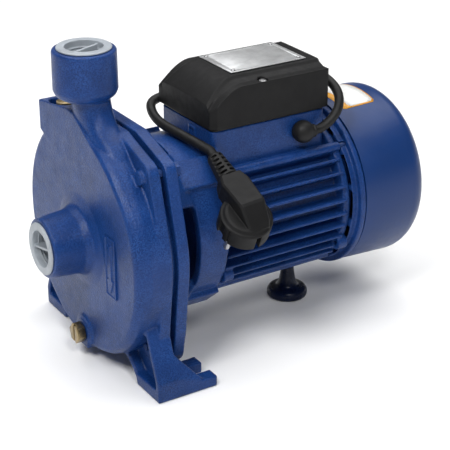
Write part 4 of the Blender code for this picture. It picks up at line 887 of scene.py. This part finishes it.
# ---- materials -------------------------------------------------------------------------------
class Nodes:
    """Builds one procedural material, with helpers for its noise, ramps and bumps."""

    def __init__(self, name, colour, roughness, metallic=0, **sockets):
        self.material = bpy.data.materials.new(name)
        self.material.use_nodes = True
        self.tree = self.material.node_tree
        self.shader = self.tree.nodes["Principled BSDF"]
        self.set("Base Color", (*colour, 1))
        self.set("Roughness", roughness)
        self.set("Metallic", metallic)
        for key, value in sockets.items():
            self.set(key.replace("_", " "), value)
        self.place = self.node("TexCoord").outputs["Object"]
        self.height = None

    def set(self, socket, value):
        self.shader.inputs[socket].default_value = value

    def link(self, output, target):
        self.tree.links.new(output, target)

    def node(self, kind, **values):
        node = self.tree.nodes.new("ShaderNode" + kind)
        for socket, value in values.items():
            node.inputs[socket].default_value = value
        return node

    def noise(self, scale, detail=3, roughness=0.5, stretch=None):
        node = self.node("TexNoise", Scale=scale, Detail=detail, Roughness=roughness)
        source = self.place
        if stretch:
            mapping = self.node("Mapping", Scale=stretch)
            self.link(source, mapping.inputs["Vector"])
            source = mapping.outputs["Vector"]
        self.link(source, node.inputs["Vector"])
        return node.outputs["Fac"]

    def ramp(self, value, *stops):
        """Colours or grey values between positions along a value."""
        node = self.node("ValToRGB")
        elements = node.color_ramp.elements
        while len(elements) < len(stops):
            elements.new(0.5)
        for element, (position, colour) in zip(elements, stops):
            element.position = position
            if not hasattr(colour, "__len__"):
                colour = (colour, colour, colour)
            element.color = (*colour, 1)
        self.link(value, node.inputs["Fac"])
        return node.outputs["Color"]

    def mix(self, share, first, second):
        """From the first colour output to the second, a plain colour."""
        node = self.node("Mix")
        node.data_type = "RGBA"
        self.link(share, node.inputs[0])
        self.link(first, node.inputs[6])
        node.inputs[7].default_value = (*second, 1)
        return node.outputs[2]

    def times(self, first, second):
        node = self.node("Math")
        node.operation = "MULTIPLY"
        self.link(first, node.inputs[0])
        if isinstance(second, float):
            node.inputs[1].default_value = second
        else:
            self.link(second, node.inputs[1])
        return node.outputs[0]

    def colour(self, output):
        self.link(output, self.shader.inputs["Base Color"])

    def rough(self, output):
        self.link(output, self.shader.inputs["Roughness"])

    def bump(self, height, distance_mm):
        """Adds one layer of relief over those already there."""
        node = self.node("Bump", Distance=distance_mm * MM, Strength=1)
        self.link(height, node.inputs["Height"])
        if self.height is not None:
            self.link(self.height, node.inputs["Normal"])
        self.height = node.outputs["Normal"]
        self.link(self.height, self.shader.inputs["Normal"])


def shade(base, factor):
    return tuple(channel * factor for channel in base)


def sheet_enamel(name, base):
    """The castings' paint on smooth sheet metal and bolts: glossier, with a faint orange peel."""
    kit = Nodes(name, base, 0.36, Specular_IOR_Level=0.34)
    kit.colour(kit.ramp(kit.noise(22, 3, 0.5), (0.3, shade(base, 0.92)), (0.7, shade(base, 1.08))))
    kit.rough(kit.ramp(kit.noise(160), (0.3, 0.32), (0.75, 0.42)))
    kit.bump(kit.noise(330, 2, 0.45), 0.05)
    return name, kit.material


def enamel(name, base, depth, grain):
    """Paint over a casting: pooled colour, painted speckled highlight and the relief of the sand under
    it.
    """
    kit = Nodes(name, base, 0.36, Specular_IOR_Level=0.22)
    light = tuple(channel * 1.22 + 0.004 for channel in base)
    patches = kit.ramp(kit.noise(38, 4, 0.6), (0.3, shade(base, 0.72)), (0.55, base), (0.78, light))
    # light specks: painted speckled highlight, standing in for glints off the sand's grains
    glint_specks = kit.ramp(kit.noise(900, 2), (0.62, 0), (0.74, 1))
    pools_and_glints = kit.mix(glint_specks, patches, shade(base, 1.6))
    # lighter lilac sand grains, stronger in patches: more painted speckled highlight
    sand = kit.ramp(kit.noise(grain * 0.85, 2, 0.5), (0.42, 0), (0.58, 1))
    glint_strength = kit.ramp(kit.noise(55, 3, 0.6), (0.35, 0.25), (0.65, 0.8))
    glint_colour = (base[0] * 3.6, base[1] * 2.3, base[2] * 1.8)
    kit.colour(kit.mix(kit.times(sand, glint_strength), pools_and_glints, glint_colour))
    kit.rough(kit.ramp(kit.noise(120), (0.3, 0.28), (0.75, 0.42)))
    kit.bump(kit.noise(grain * 0.44, 2, 0.5), depth)
    kit.bump(kit.noise(grain * 0.7, 2, 0.6), depth * 1.3)
    return name, kit.material


def plastic(name, base, roughness, grain=2600, depth=0.03, **sockets):
    kit = Nodes(name, base, roughness, **sockets)
    kit.colour(kit.ramp(kit.noise(60, 3, 0.55), (0.3, shade(base, 0.85)), (0.7, shade(base, 1.15))))
    kit.rough(kit.ramp(kit.noise(200), (0.3, roughness - 0.07), (0.7, roughness + 0.08)))
    kit.bump(kit.noise(grain, 2, 0.5), depth)
    return name, kit.material


def metal(name, base, roughness, stretch=(1, 1, 1), grain=1400, depth=0.012, stain=0.8):
    """Bare or plated metal with fine tool marks and faint stains."""
    kit = Nodes(name, base, roughness, 1)
    kit.colour(kit.ramp(kit.noise(110, 4, 0.6), (0.32, shade(base, stain)), (0.66, base)))
    marks = kit.noise(grain, 2, 0.5, stretch)
    kit.rough(kit.ramp(marks, (0.3, roughness - 0.08), (0.7, roughness + 0.1)))
    kit.bump(marks, depth)
    return name, kit.material


MATERIALS = dict((
    enamel("blue_enamel", (0.0042, 0.027, 0.128), 0.19, 1250),
    sheet_enamel("sheet_enamel", (0.0045, 0.028, 0.122)),
    sheet_enamel("painted_bolt", (0.005, 0.026, 0.11)),
    plastic("black_plastic", (0.0085, 0.0085, 0.009), 0.5, Specular_IOR_Level=0.15),
    plastic("rubber", (0.008, 0.008, 0.0082), 0.5, 1500, Specular_IOR_Level=0.24),
    metal("brass", (0.42, 0.32, 0.17), 0.32, stain=0.5),
    plastic("grey_plastic", (0.32, 0.35, 0.385), 0.42, 1800,
            Subsurface_Weight=0.15, Subsurface_Radius=(0.002, 0.002, 0.002)),
    metal("zinc", (0.55, 0.55, 0.56), 0.34),
    metal("steel", (0.5, 0.5, 0.52), 0.28, (0.05, 1, 1)),
    metal("core_steel", (0.3, 0.3, 0.32), 0.4, (12, 0.05, 0.05)),
    metal("copper", (0.5, 0.19, 0.08), 0.35, (1, 1, 1), 500, 0.05),
    plastic("ceramic", (0.75, 0.74, 0.7), 0.25),
    plastic("carbon", (0.03, 0.03, 0.03), 0.4),
    plastic("fan_plastic", (0.05, 0.05, 0.055), 0.5),
    metal("aluminium_plate", (0.78, 0.79, 0.8), 0.4, (0.04, 1, 1)),
    plastic("white_plastic", (0.75, 0.75, 0.72), 0.45),
    plastic("amber_paper", (0.72, 0.33, 0.02), 0.4, 900),
    plastic("white_paper", (0.74, 0.74, 0.73), 0.4, 900),
    plastic("dark_blue_plastic", (0.003, 0.007, 0.026), 0.3, Specular_IOR_Level=0.2),
))


# ---- finishing of pieces ---------------------------------------------------------------------
def cast(item, voxel, passes=5):
    """Turn hard joins into the rounded edges of a casting or moulding, by remeshing."""
    remesh = item.modifiers.new("remesh", "REMESH")
    remesh.mode = "VOXEL"
    remesh.voxel_size = voxel * MM
    smooth = item.modifiers.new("smooth", "SMOOTH")
    smooth.factor = 0.5
    smooth.iterations = passes
    apply_modifiers(item)
    item.data.shade_smooth()
    return item


def rounded(item, width):
    """Round the edges of a machined or pressed piece."""
    bevel = item.modifiers.new("bevel", "BEVEL")
    bevel.width = width * MM
    bevel.segments = 2
    bevel.limit_method = "ANGLE"
    bevel.angle_limit = math.radians(30)
    apply_modifiers(item)
    item.data.shade_smooth()
    item.data.set_sharp_from_angle(angle=math.radians(40))
    return item


def wear(item, material):
    item.data.materials.clear()
    item.data.materials.append(MATERIALS[material])


def stands_for(item, node, finish=None):
    """The piece takes the place of a CAD node, with its body and its material slot."""
    item.name = node + ".look"
    wear(item, finish or SLOT_OF[node])
    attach(item, BODY_OF[node])
    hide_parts(node)
    return item


def row_stands_for(items, prefix, finish=None):
    """Like stands_for, for pieces whose nodes are numbered from 1."""
    for index, item in enumerate(items, 1):
        stands_for(item, "%s_%d" % (prefix, index), finish)


# ---- camera, floor and light -----------------------------------------------------------------
def set_camera():
    """Looks at the suction end from the left and a little above."""
    azimuth, elevation = math.radians(-32.07), math.radians(25.04)
    back = Vector((math.sin(azimuth) * math.cos(elevation), -math.cos(azimuth) * math.cos(elevation),
                   math.sin(elevation)))
    right = Vector((math.cos(azimuth), math.sin(azimuth), 0))
    data = bpy.data.cameras.new("camera")
    data.sensor_width = 36
    data.lens = 109.8
    camera = placed("camera", data)
    camera.matrix_world = axes_at((-0.4919, -0.7936, 0.5119), right, back.cross(right), back)
    bpy.context.scene.camera = camera


def area_light(name, position, size, watts):
    """Lamp that points at the middle of the pump."""
    data = bpy.data.lights.new(name, "AREA")
    data.shape = "RECTANGLE"
    data.size, data.size_y = size
    data.energy = watts
    lamp = placed(name, data)
    lamp.location = position
    aim = Vector((0, 0, 0.1)) - Vector(position)
    lamp.rotation_euler = aim.to_track_quat("-Z", "Y").to_euler()


def set_studio():
    reach, height = 12, -0.0003
    mesh = bpy.data.meshes.new("floor")
    mesh.from_pydata([(-reach, -reach, height), (reach, -reach, height), (reach, reach, height),
                      (-reach, reach, height)], [], [(0, 1, 2, 3)])
    floor = placed("floor", mesh)
    kit = Nodes("floor", (0.97, 0.97, 0.97), 0.6)
    # the floor stays white as far as the horizon, beyond the lamps' reach
    distance = kit.node("VectorMath")
    distance.operation = "LENGTH"
    kit.link(kit.place, distance.inputs[0])
    kit.set("Emission Color", (1, 1, 1, 1))
    far = kit.ramp(kit.times(distance.outputs["Value"], 0.25), (0.2, 0), (0.6, 0.9))
    kit.link(far, kit.shader.inputs["Emission Strength"])
    floor.data.materials.append(kit.material)
    # the sky is white at the horizon and dim above it
    sky = bpy.data.worlds.new("studio")
    sky.use_nodes = True
    tree = sky.node_tree
    place = tree.nodes.new("ShaderNodeTexCoord")
    split = tree.nodes.new("ShaderNodeSeparateXYZ")
    fade = tree.nodes.new("ShaderNodeValToRGB")
    tree.links.new(place.outputs["Generated"], split.inputs["Vector"])
    tree.links.new(split.outputs["Z"], fade.inputs["Fac"])
    tree.links.new(fade.outputs["Color"], tree.nodes["Background"].inputs["Color"])
    for element, (height, grey) in zip(fade.color_ramp.elements, ((0.02, 1), (0.1, 0.1))):
        element.position = height
        element.color = (grey, grey, grey, 1)
    bpy.context.scene.world = sky
    area_light("key", (-0.9, -0.5, 1.3), (0.45, 0.45), 13)
    area_light("top", (0.3, 0.4, 1.8), (2.6, 2), 44)
    area_light("front", (-0.32, -1.15, 1.25), (0.3, 0.3), 8)
    bpy.context.scene.view_settings.view_transform = "Standard"


set_camera()
plug_pieces = [stands_for(cast(strain_relief(), 0.28, 2), "plug_strain_relief"),
               stands_for(cast(plug_body(), 0.3, 1), "plug_body"),
               stands_for(plug_pin(-1), "plug_pin_1"), stands_for(plug_pin(1), "plug_pin_2")]
cord = power_cord()
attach(cord, "pump")
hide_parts("power_cord")
wear(cord, "rubber")
route = cord_points()
set_studio()

for node, item in frame["nodes"].items():
    wear(item, SLOT_OF[node])

# castings first, then pressed, moulded and machined pieces
stands_for(joined(cast(pump_casing(), 0.8), cast(arrow_plate(), 0.3, 1)), "pump_casing")
for piece, finishing, *amount in (
        (lantern_bracket, cast, 0.85), (motor_frame, cast, 0.62, 3), (rear_shield, cast, 0.6, 3),
        (fan_cover, rounded, 0.3), (terminal_cover, cast, 0.5, 2), (terminal_gasket, rounded, 0.2),
        (nameplate, rounded, 0.15), (cable_gland, cast, 0.35, 2), (support_foot, cast, 0.5, 2)):
    stands_for(finishing(piece(), *amount), piece.__name__,
               "sheet_enamel" if piece is fan_cover else None)
stands_for(cast(thread_plug("x", (0, SHAFT_Z), SUCTION_X, 1), 0.32, 2), "suction_thread_plug")
stands_for(cast(thread_plug("z", (DISCHARGE_X, 0), DISCHARGE_TOP, -1), 0.32, 2), "discharge_thread_plug")
stands_for(rounded(priming_plug(), 0.5), "priming_plug")
stands_for(rounded(drain_plug(), 0.5), "drain_plug")
row_stands_for([rounded(casing_bolt(spot), 0.4) for spot in bolt_positions()], "casing_bolt")
row_stands_for([rounded(tie_bolt(polar(*tunnel)), 0.4) for tunnel in TUNNELS], "tie_bolt", "painted_bolt")
row_stands_for([rounded(fan_cover_screw(angle), 0.5) for angle in COVER_SCREW_ANGLES], "fan_cover_screw")
row_stands_for([rounded(rivet(spot), 0.15) for spot in rivet_spots()], "nameplate_rivet")
stands_for(rounded(cover_screw(-1), 0.25), "terminal_cover_screw_near")
stands_for(rounded(cover_screw(1), 0.25), "terminal_cover_screw_far")

# two blank labels, which stand for no CAD node
for name, paper, patch in (("cover_label", "amber_paper", (199, 229, 58, 109.8, 0.05)),
                           ("cover_label_panel", "white_paper", (205.4, 227.8, 59.2, 108.6, 0.16))):
    label = label_patch(*patch)
    label.name = name
    wear(label, paper)
    label.data.shade_smooth()
    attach(label, "pump")
